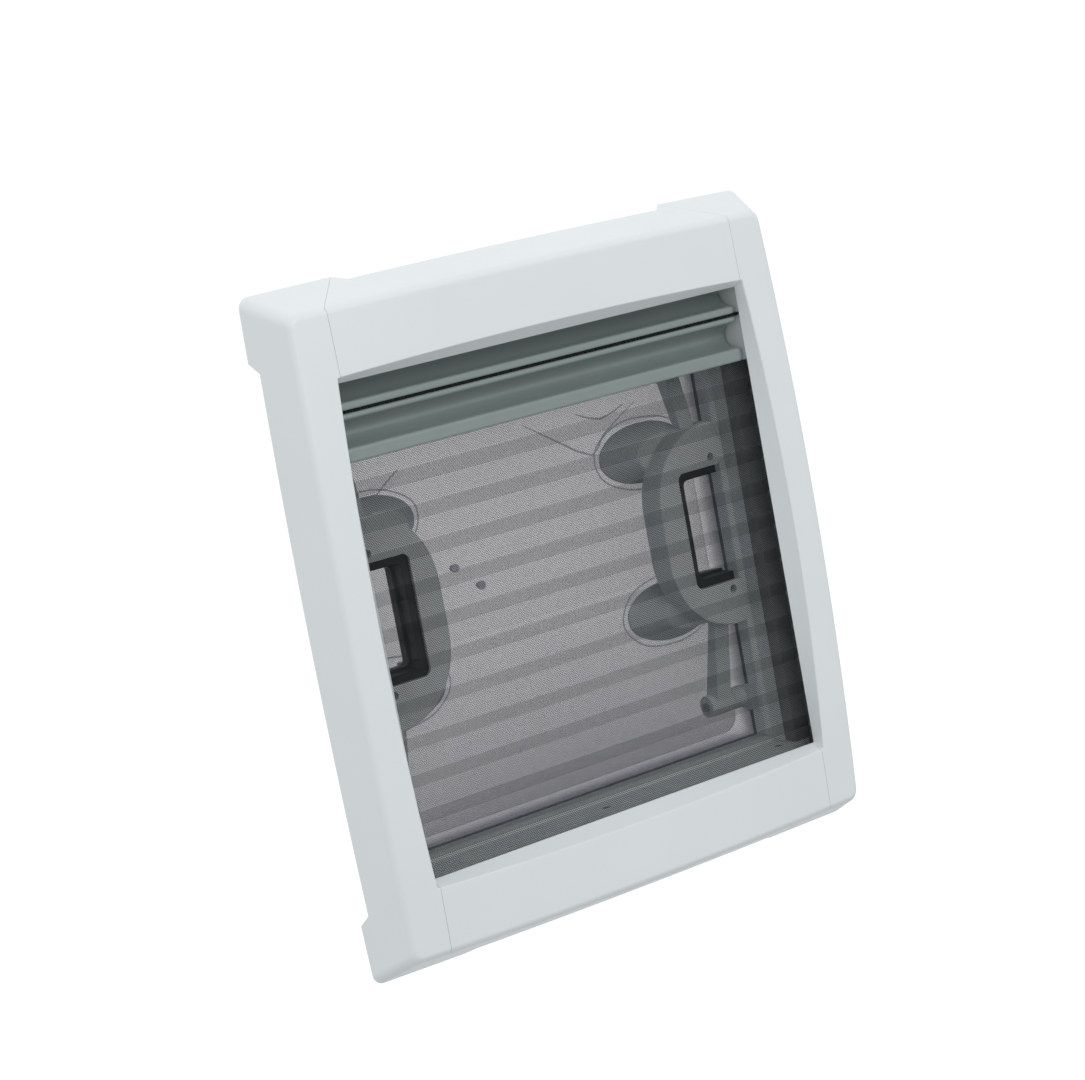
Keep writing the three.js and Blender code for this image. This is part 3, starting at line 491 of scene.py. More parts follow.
# %% [markdown]
# ## Room-side frame
# The frame is four mouldings: two tall side members and two cross rails between them. They share one
# swept section: a reveal, a soft inner edge, a swelling face, a rounded arris and a flaring skirt. It
# could be modelled as four boxes with bevels, but then the swell would stop at each joint. Here one
# ring is lofted round the whole opening, and is then cut into its four members with a fine seam.

# %% Frame section
EDGE_STEPS, CORNER_STEPS = 28, 8
REVEAL_EDGE = 1.4                  # radius of the soft edge round the opening
REVEAL_CORNER = 1                  # radius of the opening's own corners
REVEAL_STEPS, ARRIS_STEPS = 3, 5   # facets round the reveal's edge and round the arris
FACE_SHARES = (0.35, 0.7)          # where the swelling face has loops, between those two edges


def face_y(x, z):
    return FRONT - CROWN * (1 - min(1, (x / FACE_HALF_X) ** 2 * (z / FACE_HALF_Z) ** 2))


def outline_loop(inset, flare):
    return rounded(FACE_HALF_X + flare * FLARE_X - inset, FACE_HALF_Z + flare * FLARE_Z - inset,
                   max(OUTLINE_RADIUS - inset, 3), BULGE_X, BULGE_Z, EDGE_STEPS, CORNER_STEPS)


def reveal_loop(offset, flare):
    return rounded(OPENING_HALF + flare * REVEAL_FLARE_X + offset,
                   OPENING_HALF + flare * REVEAL_FLARE_Z + offset,
                   REVEAL_CORNER + max(offset, 0), flare * REVEAL_BOW_X, flare * REVEAL_BOW_Z,
                   EDGE_STEPS, CORNER_STEPS)


def level(points, y):
    return [(x, y, z) for x, z in points]


def on_face(points, drop):
    return [(x, face_y(x, z) + drop, z) for x, z in points]


def flare_at(drop):
    """The skirt flares evenly from the front corners to the ceiling."""
    return drop / -FRONT


def frame_shell():
    loops = [level(reveal_loop(0, 0), REVEAL_BACK)]
    for i in range(REVEAL_STEPS + 1):
        turn = math.radians(90 * i / REVEAL_STEPS)
        edge = reveal_loop(REVEAL_EDGE * (1 - math.cos(turn)), 1)
        loops.append(on_face(edge, REVEAL_EDGE * (1 - math.sin(turn))))
    inner, outer = reveal_loop(REVEAL_EDGE, 1), outline_loop(ARRIS_RADIUS, 0)
    for share in FACE_SHARES:
        loops.append(on_face([(a + (c - a) * share, b + (d - b) * share)
                              for (a, b), (c, d) in zip(inner, outer)], 0))
    for i in range(ARRIS_STEPS + 1):
        turn = math.radians(90 * i / ARRIS_STEPS)
        drop = ARRIS_RADIUS * (1 - math.cos(turn))
        edge = outline_loop(ARRIS_RADIUS * (1 - math.sin(turn)), flare_at(drop) * i / ARRIS_STEPS)
        loops.append(on_face(edge, drop))
    loops += [level(outline_loop(0, 1), 0), level(outline_loop(FRAME_WALL, 1), 0),
              on_face(outline_loop(FRAME_WALL, flare_at(ARRIS_RADIUS)), ARRIS_RADIUS + 1),
              on_face(outline_loop(ARRIS_RADIUS, 0), FRAME_WALL),
              on_face(reveal_loop(FRAME_WALL, 1), FRAME_WALL),
              level(reveal_loop(FRAME_WALL, 0), REVEAL_BACK)]
    return loft("frame_shell", loops, ring=True)


# %% Frame members
def recess_tool(axis, end):
    """The air gap under the skirt stops at the feet with a slope."""
    depth_and_run = [(-RECESS, end - FOOT_SLOPE), (PAST, end + PAST), (PAST, -end - PAST),
                     (-RECESS, FOOT_SLOPE - end)]
    if axis == "z":
        depth_and_run = [(run, depth) for depth, run in depth_and_run]
    return prism("recess", depth_and_run, axis, -FAR, FAR)


PAD_WIDTH, PAD_THICKNESS = 9, 4
PAD_SINK, PAD_SLOPE = 0.5, 1.5     # into the skirt's wall, and off the square at its thin side
SLANT_END_Y = 0.5                  # just behind the ceiling face
HAIR = 0.01                        # overlap that joins two cutting tools


def foot_pads():
    """Bearing pads inside the corners of the skirt, flush with the ceiling face."""
    def loop(inset, y):
        return level(rounded(FACE_HALF_X + FLARE_X - inset, FACE_HALF_Z + FLARE_Z - inset,
                             max(OUTLINE_RADIUS - inset, 2), BULGE_X, BULGE_Z, EDGE_STEPS, CORNER_STEPS), y)
    outer, inner = FRAME_WALL - PAD_SINK, FRAME_WALL + PAD_WIDTH
    pads = loft("pads", [loop(outer + PAD_SLOPE, -PAD_THICKNESS), loop(outer, 0), loop(inner, 0),
                         loop(inner, -PAD_THICKNESS)], ring=True)
    combine(pads, block("cut", (-WING_END_X, WING_END_X), (-FAR, FAR), (-FAR, FAR)), "DIFFERENCE")
    return combine(pads, block("cut", (-FAR, FAR), (-FAR, FAR), (-FOOT_END_Z, FOOT_END_Z)), "DIFFERENCE")


def seam_tool(sign, gap):
    """The room between the side members: straight on the face, slanting to the foot on the skirt wall."""
    straight = block("straight", (gap - SEAM_X, SEAM_X - gap), (-FAR, FAR),
                     sorted((sign * (OPENING_HALF - PAST), sign * (FACE_HALF_Z - OUTLINE_RADIUS))))
    outline = [(-SEAM_X + gap, -FAR), (SEAM_X - gap, -FAR), (SEAM_X - gap, FRONT + PAST),
               (WING_END_X - gap, SLANT_END_Y), (gap - WING_END_X, SLANT_END_Y), (gap - SEAM_X, FRONT + PAST)]
    slant = prism("slant", outline, "z",
                  *sorted((sign * (FACE_HALF_Z - OUTLINE_RADIUS - HAIR), sign * FAR)))
    return combine(straight, slant, "UNION")


def weighted(thing):
    """Lets the large faces set the shading, so that a cut doesn't show as a smear."""
    modifier = thing.modifiers.new("normals", "WEIGHTED_NORMAL")
    modifier.keep_sharp = True
    return thing


def copy_of(thing, name):
    twin = bpy.data.objects.new(name, thing.data.copy())
    bpy.context.scene.collection.objects.link(twin)
    return twin


def place(thing, name, body, slot, material, node_name=None):
    """Names a finished piece, gives it its finish and its body, and hides the CAD node that it stands for."""
    thing.name = name
    thing.data.name = name
    thing.data.materials.clear()
    thing.data.materials.append(material)
    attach(thing, body)
    if node_name:
        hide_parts(node_name)
    return thing


def frame_members():
    shell = frame_shell()
    combine(shell, recess_tool("x", FOOT_END_Z), "DIFFERENCE")
    combine(shell, recess_tool("z", WING_END_X), "DIFFERENCE")
    combine(shell, foot_pads(), "UNION")
    for name, sign in LEVELS:
        rail = combine(copy_of(shell, "rail"), seam_tool(sign, SEAM_GAP), "INTERSECT")
        place(weighted(rail), f"cross_rail_{name}", "frame", "white_plastic", abs_white,
              f"frame_rail_{name}")
    for sign in (1, -1):
        combine(shell, seam_tool(sign, 0), "DIFFERENCE")
    for name, sign in SIDES:
        this_side = block("half", sorted((0, sign * FAR)), (-FAR, FAR), (-FAR, FAR))
        half = combine(copy_of(shell, "side"), this_side, "INTERSECT")
        place(weighted(half), f"side_member_{name}", "frame", "white_plastic", abs_white,
              f"frame_side_{name}")
    bpy.data.objects.remove(shell)


frame_members()
print("frame members made")

# %% [markdown]
# ## Outer frame, guides and cassettes
# The outer frame sits on the roof and reaches down through the cut-out. The two blind guides and two
# cassettes fill the space between it and the room-side frame. Their CAD shapes are plain sheet and
# channel, as the real ones are, so they keep their meshes and only get rounded edges and a finish.

# %% Plain nodes
EDGE_BREAK, THIN_EDGE_BREAK, SEAL_EDGE, RAIL_END_EDGE = 0.5, 0.3, 0.6, 0.8


def dress(node_name, material, width):
    """Gives a CAD node its finish and rounds its edges by width, without changing its mesh."""
    thing = frame["nodes"][node_name]
    thing.data.materials.clear()
    thing.data.materials.append(material)
    modifier = thing.modifiers.new("edge break", "BEVEL")
    modifier.width = width * MM
    modifier.segments = 2
    modifier.limit_method = "ANGLE"
    modifier.angle_limit = math.radians(ROUNDED_FROM)


for name, _ in SIDES + LEVELS:
    dress(f"outer_frame_{name}", abs_white_inner, EDGE_BREAK)
    dress(f"roof_seal_{name}", butyl, THIN_EDGE_BREAK)
for name, _ in SIDES:
    dress(f"blind_guide_{name}", asa_grey, THIN_EDGE_BREAK)
for name, _ in LEVELS:
    dress(f"blind_cassette_{name}", abs_white_inner, THIN_EDGE_BREAK)
dress("dome_seal", epdm, SEAL_EDGE)
print("plain nodes dressed")

# %% [markdown]
# ## Blind rails
# Each rail is an aluminium extrusion: a thick lip to pull on, a hollow web that curves away from the
# room like a C, and a thin lip at its far edge. Towards its ends the lips draw back and narrow, as
# milled ends do, so the rail is a row of sections lofted along X. A nylon end closes each end of the
# hollow and slides in the guide behind the side member.

# %% Rails
LIP_NOSE, NOSE_SHARE = 3, 0.42     # radius of the thick lip's nose, at most this share of the lip
HEEL = 1.8                         # radius of its lower edge
THIN_ROUND = 5                     # the thin lip is a full round up to this height
PLAN_RADIUS = 8                    # the lips' ends are rounded by this in plan
LIP_PINCH, THIN_PINCH, ROUND_PINCH = 0.42, 0.3, 0.4  # share that each loses at the very end
HEEL_LIFT = 0.2                    # and how far the lower edge rises, as a share of the lip
WEB_LEAN = ((2, 0.5), (5, -3))     # the web's curve leans to these places behind each lip
RAILS = {"fly_screen_rail": {"lip": 11, "thin_lip": 4.5, "body": "fly_rail"},
         "blackout_rail": {"lip": 6.2, "thin_lip": 7, "body": "blackout"}}


def rail_section(low, high, lip, thin_lip, pinch):
    """The section in (y, z). Pinch, from 0 to 1, draws the lips back and makes them narrower."""
    front, back = low[1] + PLAN_RADIUS * pinch, high[1]
    bottom, top = low[2], high[2]
    lip_top, lip_bottom = bottom + lip * (1 - LIP_PINCH * pinch), top - thin_lip * (1 - THIN_PINCH * pinch)
    heel_z = bottom + lip * HEEL_LIFT * pinch
    nose = min(LIP_NOSE, lip * NOSE_SHARE) * (1 - ROUND_PINCH * pinch)
    half = min(thin_lip, THIN_ROUND) / 2 * (1 - THIN_PINCH * pinch)
    heel = HEEL * (1 - ROUND_PINCH * pinch)
    outline = [(back, bottom), (front + heel + 1, heel_z)]
    outline += arc((front + heel, heel_z + heel), heel, 270, 180, 6)
    outline += arc((front + nose, lip_top - nose), nose, 180, 90, 8)
    (first_y, first_z), (last_y, last_z) = WEB_LEAN
    outline += cubic(outline[-1], (back + first_y, lip_top + first_z), (back + last_y, lip_bottom + last_z),
                     (front + half, lip_bottom), 24)
    return outline + arc((front + half, lip_bottom + half), half, 260, 90, 10) + [(back, top)]


def rail(name, lip, thin_lip, body):
    """Sections along X, close together at the ends, where the pinch grows."""
    low, high = box_mm(name)
    stations = []
    for turn in range(0, 91, 10):
        reach = PLAN_RADIUS * (1 - math.cos(math.radians(turn)))
        stations.append((high[0] - reach, 1 - math.sin(math.radians(turn))))
    stations = [(-x, pinch) for x, pinch in stations] + [(x, pinch) for x, pinch in reversed(stations)]
    loops = [[(x, y, z) for y, z in rail_section(low, high, lip, thin_lip, pinch)] for x, pinch in stations]
    made = loft(name, loops, smooth=40)
    return place(weighted(made), f"{name}_extrusion", body, "rail_grey", rail_grey, name)


for name, facts in RAILS.items():
    made = rail(name, **facts)
    print(made.name, "faces", len(made.data.polygons))
for name in ("fly_rail", "blackout_rail"):
    for side_name, _ in SIDES:
        dress(f"{name}_end_{side_name}", nylon_grey, RAIL_END_EDGE)

# %% [markdown]
# ## Brush seal
# A strip of nylon pile closes the slot between the two rails. It is made as a row of thin upright
# tufts, each a little different in height; the narrow backing that holds them is not made.

# %% Brush seal
TUFT_PITCH, TUFT_SHARE = 0.9, 0.72 # from tuft to tuft, and how much of that is pile
TUFT_RAGGED, TUFT_LEAN = 1.6, 0.2  # how much tufts differ in height, and how far they lean
pile_dice = random.Random(4)


def brush_seal():
    low, high = box_mm("brush_seal")
    points, faces = [], []
    count = int((high[0] - low[0]) / TUFT_PITCH)
    for i in range(count):
        x0 = low[0] + i * TUFT_PITCH
        x1 = x0 + TUFT_PITCH * TUFT_SHARE
        tip = low[1] + pile_dice.uniform(0, TUFT_RAGGED)
        lean = pile_dice.uniform(-TUFT_LEAN, TUFT_LEAN)
        start = len(points)
        points += [(x0, high[1], low[2]), (x1, high[1], low[2]),
                   (x1, high[1], high[2]), (x0, high[1], high[2]),
                   (x0 + lean, tip, low[2]), (x1 + lean, tip, low[2]),
                   (x1 + lean, tip, high[2]), (x0 + lean, tip, high[2])]
        faces += [tuple(start + k for k in quad) for quad in
                  ((0, 3, 2, 1), (4, 5, 6, 7), (0, 1, 5, 4), (1, 2, 6, 5), (2, 3, 7, 6), (3, 0, 4, 7))]
    pile = make("brush_pile", points, faces, 20)
    return place(pile, "brush_pile", "blackout", "brush_black", pile_black, "brush_seal")


print("tufts", len(brush_seal().data.polygons) // 6)

# %% [markdown]
# ## Fly screen
# The screen is one sheet, folded to and fro. Its facets are flat and its folds are tight but not
# sharp. Cut from flat, it is as wide as the space between the guides and as long as its facets
# together. Each point keeps its place on the flat cloth, in millimetres, for the weave to follow. The
# sheet moves with the rail. As the rail is pulled down, the real screen folds up beneath it; here only
# the share that stays folded is worked out, and the sheet keeps its one shape.

# %% Pleated sheets
FOLD_ROUND = 0.7                   # how far a fold is blunted
FOLD_TIP = 0.25                    # share of that which is left at the fold itself
SHEET_INSET = 0.8                  # the sheet stays this far in front of the CAD solid's back
PLEAT_PAIRS = 13
screen_dice = random.Random(11)


def pleated(name, bottom, top, front, back, half_x, pairs, columns, wander):
    """A folded sheet that keeps each point's place on the flat cloth, and the cloth's length."""
    profile = []
    pitch = (top - bottom) / (2 * pairs)
    for i in range(2 * pairs + 1):
        y, z = (front if i % 2 else back), bottom + pitch * i
        inward = 1 if i % 2 else -1
        if 0 < i < 2 * pairs:
            share = FOLD_ROUND / abs(back - front)
            profile += [(y + inward * FOLD_ROUND, z - pitch * share), (y + inward * FOLD_ROUND * FOLD_TIP, z),
                        (y + inward * FOLD_ROUND, z + pitch * share)]
        else:
            profile.append((y, z))
    lengths = [0.0]
    for (y0, z0), (y1, z1) in zip(profile, profile[1:]):
        lengths.append(lengths[-1] + math.hypot(y1 - y0, z1 - z0))
    points, faces, cloth = [], [], []
    shift = [[screen_dice.uniform(-wander, wander) for _ in range(columns + 1)] for _ in profile]
    for row, (y, z) in enumerate(profile):
        held = row in (0, len(profile) - 1)
        for column in range(columns + 1):
            x = -half_x + 2 * half_x * column / columns
            points.append((x, y + (0 if held else shift[row // 3 * 3][column]), z))
            cloth.append((x, lengths[row]))
    for row in range(len(profile) - 1):
        for column in range(columns):
            start = row * (columns + 1) + column
            faces.append((start, start + 1, start + columns + 2, start + columns + 1))
    sheet = make(name, points, faces, 20)
    layer = sheet.data.uv_layers.new(name="cloth_mm")
    for loop in sheet.data.loops:
        layer.data[loop.index].uv = cloth[loop.vertex_index]
    return sheet, lengths[-1]


def fly_screen():
    low, high = box_mm("fly_screen")
    sheet, length = pleated("fly_screen", low[2], high[2], low[1], high[1] - SHEET_INSET, high[0],
                            PLEAT_PAIRS, columns=22, wander=0.25)
    finish = woven_screen(length / (2 * PLEAT_PAIRS))
    place(sheet, "fly_screen_cloth", "fly_rail", "fly_mesh", finish, "fly_screen")
    joint = next(j for j in frame["joints"] if j["name"] == "fly_screen_pull")
    travel = joint["range_m"][1] / MM
    keep = (high[2] - low[2] - travel) / (high[2] - low[2])
    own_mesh(sheet)
    return length, keep


print("fly screen cut length and folded share", fly_screen())

# %% [markdown]
# ## Blackout blind
# The blackout blind is parked above its rail, folded flat. It is polyester cloth with a foil back, and
# it opens out when its rail is pulled down, bending between the frame and the rail; here it is made
# only in its parked shape.

# %% Blackout blind
CLOTH_PITCH = 0.8                  # a much finer cloth, drawn as coarse as it needs to show


def blackout_finish():
    """Polyester behind foil: matt, pale and a little fuzzy at the edges."""
    material, tree, shader = new_material("foil_backed_polyester", Roughness=0.7, IOR=1.45, Sheen_Weight=0.2)
    where = node(tree, "ShaderNodeUVMap", uv_map="cloth_mm").outputs["UV"]
    weave = node(tree, "ShaderNodeTexChecker", {"Vector": where, "Scale": 1 / CLOTH_PITCH}).outputs["Fac"]
    mottled(tree, shader, "#dcdde0", "#cfd0d4", 12)
    raised(tree, shader, weave, 0.25, 0.05)
    return material


def blackout():
    low, high = box_mm("blackout_blind")
    sheet, length = pleated("blackout", low[2], high[2], low[1], high[1] - SHEET_INSET, high[0],
                            PLEAT_PAIRS, columns=10, wander=0.1)
    sheet.name = "blackout_cloth"
    sheet.data.materials.append(blackout_finish())
    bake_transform(sheet)
    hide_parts("blackout_blind")
    return length


print("blackout cut length", blackout())

# %% [markdown]
# ## Handles
# Each handle is one nylon moulding: a D-shaped grip that stands off the pane, and two feet that flare
# out to ovals where they are bonded on. Such flowing joints are slow to build face by face. Instead
# the grip and the feet are plain overlapping solids. A voxel remesh makes one skin over them, a smooth
# turns every edge and inner corner into a fillet, and the crisp holes are cut afterwards.

# %% Handle sizes
grip_low, grip_high = box_mm("handle_right")
trigger_low, trigger_high = box_mm("trigger_right")
pane_low, pane_high = box_mm("inner_dome")
arm_low, arm_high = box_mm("arm_top_right")
SLIDE_GAP = 0.4                    # round a piece that slides
TOUCH_GAP = 0.3                    # between pieces that touch
TIP_X = grip_high[0]               # the grip's open side, next to the wall
GRIP_FRONT = grip_low[1]
GRIP_DEPTH = 26
GRIP_BACK = GRIP_FRONT + GRIP_DEPTH
GRIP_X = 107                       # its curved side
GRIP_HALF_Z = 84
GAP_X, GAP_HALF_Z, GAP_CORNER = 130, trigger_high[2] + SLIDE_GAP, 6
FOOT_CENTRE, FOOT_HALF = (134, 66), (44, 25)
FOOT_END = pane_low[1] - TOUCH_GAP
SCREW_AT, SCREW_SINK = (165.5, 55), 6
HEAD_HOLE, HEAD_HOLE_DEPTH = 3.4, 2.3
SHANK_HOLE, SHANK_HOLE_DEPTH = 2.2, 14.3
ARM_BLADE_X = (152, 166)
ARM_TIP_Z = 70
TRIGGER_TUCK, TRIGGER_SLIDE = 3.4, 3
VOXEL, SKIN_ROUNDS, FACES_KEPT = 1.3, 7, 0.35
print("handle from", GRIP_FRONT, "to", FOOT_END, "tip", TIP_X)


# %% Handle moulding
def grip_outline():
    """Half of the D, from the open side's middle round the curved side, then mirrored in z."""
    round_x = TIP_X - 6
    half = [(TIP_X, 0), (TIP_X, GRIP_HALF_Z - 10)]
    half += curve(half[-1], (TIP_X - 1, GRIP_HALF_Z - 2), (round_x - 4, GRIP_HALF_Z))
    half += cubic(half[-1], (round_x - 38, GRIP_HALF_Z), (GRIP_X, GRIP_HALF_Z - 26), (GRIP_X, 18))
    return half + [(x, -z) for x, z in reversed(half[1:])]


def foot_loft(sign, sides=48):
    """Ovals from inside the grip to the pane: half width, half height, shift in x, and y."""
    def ring(half_x, half_z, shift, y):
        return [(FOOT_CENTRE[0] + shift + half_x * math.cos(a), y,
                 sign * (FOOT_CENTRE[1] + half_z * math.sin(a)))
                for a in (2 * math.pi * i / sides for i in range(sides))]
    half_x, half_z = FOOT_HALF
    steps = [(27, 15, 4, GRIP_BACK - 3), (31, 18, 2, GRIP_BACK + 6),
             (half_x * 0.86, half_z * 0.9, 1, FOOT_END - 8),
             (half_x, half_z, 0, FOOT_END - 2), (half_x, half_z, 0, FOOT_END)]
    return loft("foot", [ring(*step) for step in steps])


def remeshed(thing):
    """One skin over overlapping solids, with its corners smoothed and its faces thinned out."""
    skin = thing.modifiers.new("skin", "REMESH")
    skin.mode = "VOXEL"
    skin.voxel_size = VOXEL * MM
    ease = thing.modifiers.new("ease", "SMOOTH")
    ease.factor = 0.5
    ease.iterations = SKIN_ROUNDS
    applied(thing, smooth=80)
    fewer = thing.modifiers.new("fewer", "DECIMATE")
    fewer.ratio = FACES_KEPT
    return applied(thing, smooth=60)


def gap_tool(x0, half_z, corner, y0, y1):
    """The finger gap, open towards the wall, with rounded inner corners."""
    outline = [(FAR, half_z)] + arc((x0 + corner, half_z - corner), corner, 90, 180)
    outline += [(x, -z) for x, z in reversed(outline)]
    return prism("gap", outline, "y", y0, y1)


def handle(name, sign):
    ahead = GRIP_FRONT - 5         # in front of the grip, where the cutting tools start
    body = prism("grip", grip_outline(), "y", GRIP_FRONT, GRIP_BACK)
    for level_sign in (1, -1):
        combine(body, foot_loft(level_sign), "UNION")
    combine(body, gap_tool(GAP_X + 1, GAP_HALF_Z - 1, GAP_CORNER, ahead, FAR), "DIFFERENCE")
    remeshed(body)
    combine(body, gap_tool(GAP_X, GAP_HALF_Z, GAP_CORNER, ahead, FAR), "DIFFERENCE")
    pocket = block("pocket", (GAP_X - TRIGGER_TUCK - TRIGGER_SLIDE - SLIDE_GAP, GAP_X + 5),
                   (trigger_low[1] - SLIDE_GAP, GRIP_BACK + PAST), (-GAP_HALF_Z, GAP_HALF_Z))
    combine(body, pocket, "DIFFERENCE")
    combine(body, block("trim", (0, FAR), (FOOT_END, FAR), (-FAR, FAR)), "DIFFERENCE")
    for level_sign in (1, -1):
        slot = block("slot", (ARM_BLADE_X[0] - 1, ARM_BLADE_X[1] + 1), (GRIP_FRONT + 4, GRIP_BACK + 6),
                     sorted((level_sign * (ARM_TIP_Z - 9), level_sign * (GRIP_HALF_Z + 16))))
        combine(body, slot, "DIFFERENCE")
        at = (SCREW_AT[0], level_sign * SCREW_AT[1])
        for radius, depth in ((HEAD_HOLE, HEAD_HOLE_DEPTH), (SHANK_HOLE, SHANK_HOLE_DEPTH)):
            hole = rod("hole", "y", radius, ahead, GRIP_FRONT + SCREW_SINK + depth, at)
            combine(body, hole, "DIFFERENCE")
    finish_mesh(mirrored(body, sign), CUT_ANGLE)
    return place(weighted(body), f"handle_moulding_{name}", "dome", "grey_plastic", nylon_grey,
                 f"handle_{name}")


for name, sign in SIDES:
    print(name, "handle faces", len(handle(name, sign).data.polygons))

# %% [markdown]
# ## Release triggers
# A black nylon liner fills each finger gap. It is the release: fingers squeeze it into the grip. It is
# a shallow U with thick ends, and a step part of the way down its wall.

# %% Triggers
LINING = 6.5                       # thickness of the liner's wall
STEP_Y = 13                        # depth of the step, behind the trigger's front edge
STEP = 2.2                         # and how far the wall steps in there
LINER_CORNER = 13                  # radius of its back corner, next to the wall


def trigger(name, sign):
    front, back = trigger_low[1], trigger_high[1]
    half = trigger_high[2]
    body = block("liner", (trigger_low[0], trigger_high[0]), (front, back), (-half, half))
    inner = half - LINING
    combine(body, gap_tool(GAP_X + LINING, inner, 5, front - PAST, front + STEP_Y), "DIFFERENCE")
    narrower = gap_tool(GAP_X + LINING + STEP, inner - STEP, 4, front + STEP_Y - PAST, back + PAST)
    combine(body, narrower, "DIFFERENCE")
    keep = [(trigger_low[0] - PAST, front - PAST), (trigger_high[0] + PAST, front - PAST)]
    keep += arc((trigger_high[0] - LINER_CORNER, back - LINER_CORNER), LINER_CORNER, 0, 90)
    keep += [(trigger_low[0] - PAST, back)]
    combine(body, prism("keep", keep, "z", -FAR, FAR), "INTERSECT")
    for level_sign in (1, -1):
        combine(body, foot_loft(level_sign), "DIFFERENCE")
    soften(body, 0.8)
    mirrored(body, sign)
    return place(weighted(body), f"trigger_liner_{name}", f"{name}_trigger", "black_plastic", nylon_black,
                 f"trigger_{name}")


for name, sign in SIDES:
    print(name, "trigger faces", len(trigger(name, sign).data.polygons))

# %% [markdown]
# ## Arms, brackets and pins
# Four arms swing between the handles and the outer frame. Each is a flat nylon lever with a round hub,
# which turns on a steel pin in a bracket. They are extrusions with broken edges, as small mouldings of
# an even thickness are.

# %% Arm linkage
PIVOT = (44, 153)                  # y, z of the top right pivot
ARM_TIP = (22, ARM_TIP_Z)
HUB_RADIUS, BLADE_RADIUS, TIP_RADIUS, PIN_RADIUS = 9, 7.5, 4, 2.5
BORE_RADIUS = PIN_RADIUS + 0.3
BRACKET_FOOT, BRACKET_PLATE = 13, 4  # half its height at the outer frame, and its thickness
bracket_low, bracket_high = box_mm("arm_bracket_top_right")
pin_low, pin_high = box_mm("arm_pin_top_right")


def arm_blade():
    """The lever's outline in (y, z): an arc round the pivot and a smaller one round the tip."""
    reach = math.degrees(math.atan2(ARM_TIP[1] - PIVOT[1], ARM_TIP[0] - PIVOT[0]))
    outline = arc(PIVOT, BLADE_RADIUS, reach + 90, reach + 270, 20)
    return outline + arc(ARM_TIP, TIP_RADIUS, reach - 90, reach + 90, 14)


def arm(name, side_sign, level_sign):
    body = prism("arm", arm_blade(), "x", *ARM_BLADE_X)
    combine(body, rod("hub", "x", HUB_RADIUS, arm_low[0], arm_high[0], PIVOT, 48), "UNION")
    soften(body, 1.1)
    combine(body, rod("bore", "x", BORE_RADIUS, 0, FAR, PIVOT), "DIFFERENCE")
    finish_mesh(mirrored(body, side_sign, level_sign), CUT_ANGLE)
    return place(weighted(body), f"arm_lever_{name}", f"{name}_arm", "grey_plastic", nylon_grey,
                 f"arm_{name}")


def bracket(side_sign, level_sign):
    foot = bracket_low[1]
    outline = [(foot, PIVOT[1] - BRACKET_FOOT), (foot, PIVOT[1] + BRACKET_FOOT)]
    outline += arc(PIVOT, HUB_RADIUS, 90, -90, 16)
    plate_x = bracket_high[0] - BRACKET_PLATE
    body = prism("bracket", outline, "x", plate_x, bracket_high[0])
    combine(body, rod("lug", "x", HUB_RADIUS, bracket_low[0], plate_x + PAST, PIVOT, 48), "UNION")
    soften(body, 0.8)
    combine(body, rod("hole", "x", BORE_RADIUS, 0, FAR, PIVOT), "DIFFERENCE")
    return mirrored(body, side_sign, level_sign)


def pin(side_sign, level_sign):
    """A headed pin with a hexagon socket."""
    head_end = arm_low[0] - TOUCH_GAP
    body = rod("pin", "x", PIN_RADIUS, pin_low[0] + 0.5, pin_high[0], PIVOT)
    combine(body, rod("head", "x", PIN_RADIUS + 1.5, pin_low[0], head_end, PIVOT), "UNION")
    soften(body, 0.4)
    socket = rod("socket", "x", 1.7, pin_low[0] - PAST, pin_low[0] + 1.2, PIVOT, sides=6)
    combine(body, socket, "DIFFERENCE")
    return mirrored(body, side_sign, level_sign)


for side_name, side_sign in SIDES:
    for level_name, level_sign in LEVELS:
        corner = f"{level_name}_{side_name}"
        arm(corner, side_sign, level_sign)
        place(weighted(bracket(side_sign, level_sign)), f"bracket_{corner}", "frame",
              "grey_plastic", nylon_grey, f"arm_bracket_{corner}")
        place(weighted(pin(side_sign, level_sign)), f"pivot_pin_{corner}", "frame",
              "screw_steel", zinc, f"arm_pin_{corner}")
print("arms, brackets and pins made")

# %% [markdown]
# ## Screws
# The screws are pan heads with a cross recess. One function makes a screw along +X at the origin, and
# each copy is turned to its axis and moved to the CAD screw that it stands for.

# %% Screws
SCREW_PITCH = 1.2
SCREW_SHANK = 1.9
THREAD_ROOT = 0.86                 # root of the thread, as a share of the shank's radius
RECESS_ARM = 0.28                  # half-width of the cross, as a share of its half-length
FRAME_SCREW_HEAD, FRAME_SCREW_HEIGHT, FRAME_SCREW_RECESS = 4.2, 1.7, 2.1
HANDLE_SCREW_HEIGHT, HANDLE_SCREW_RECESS = 1.5, 1.6


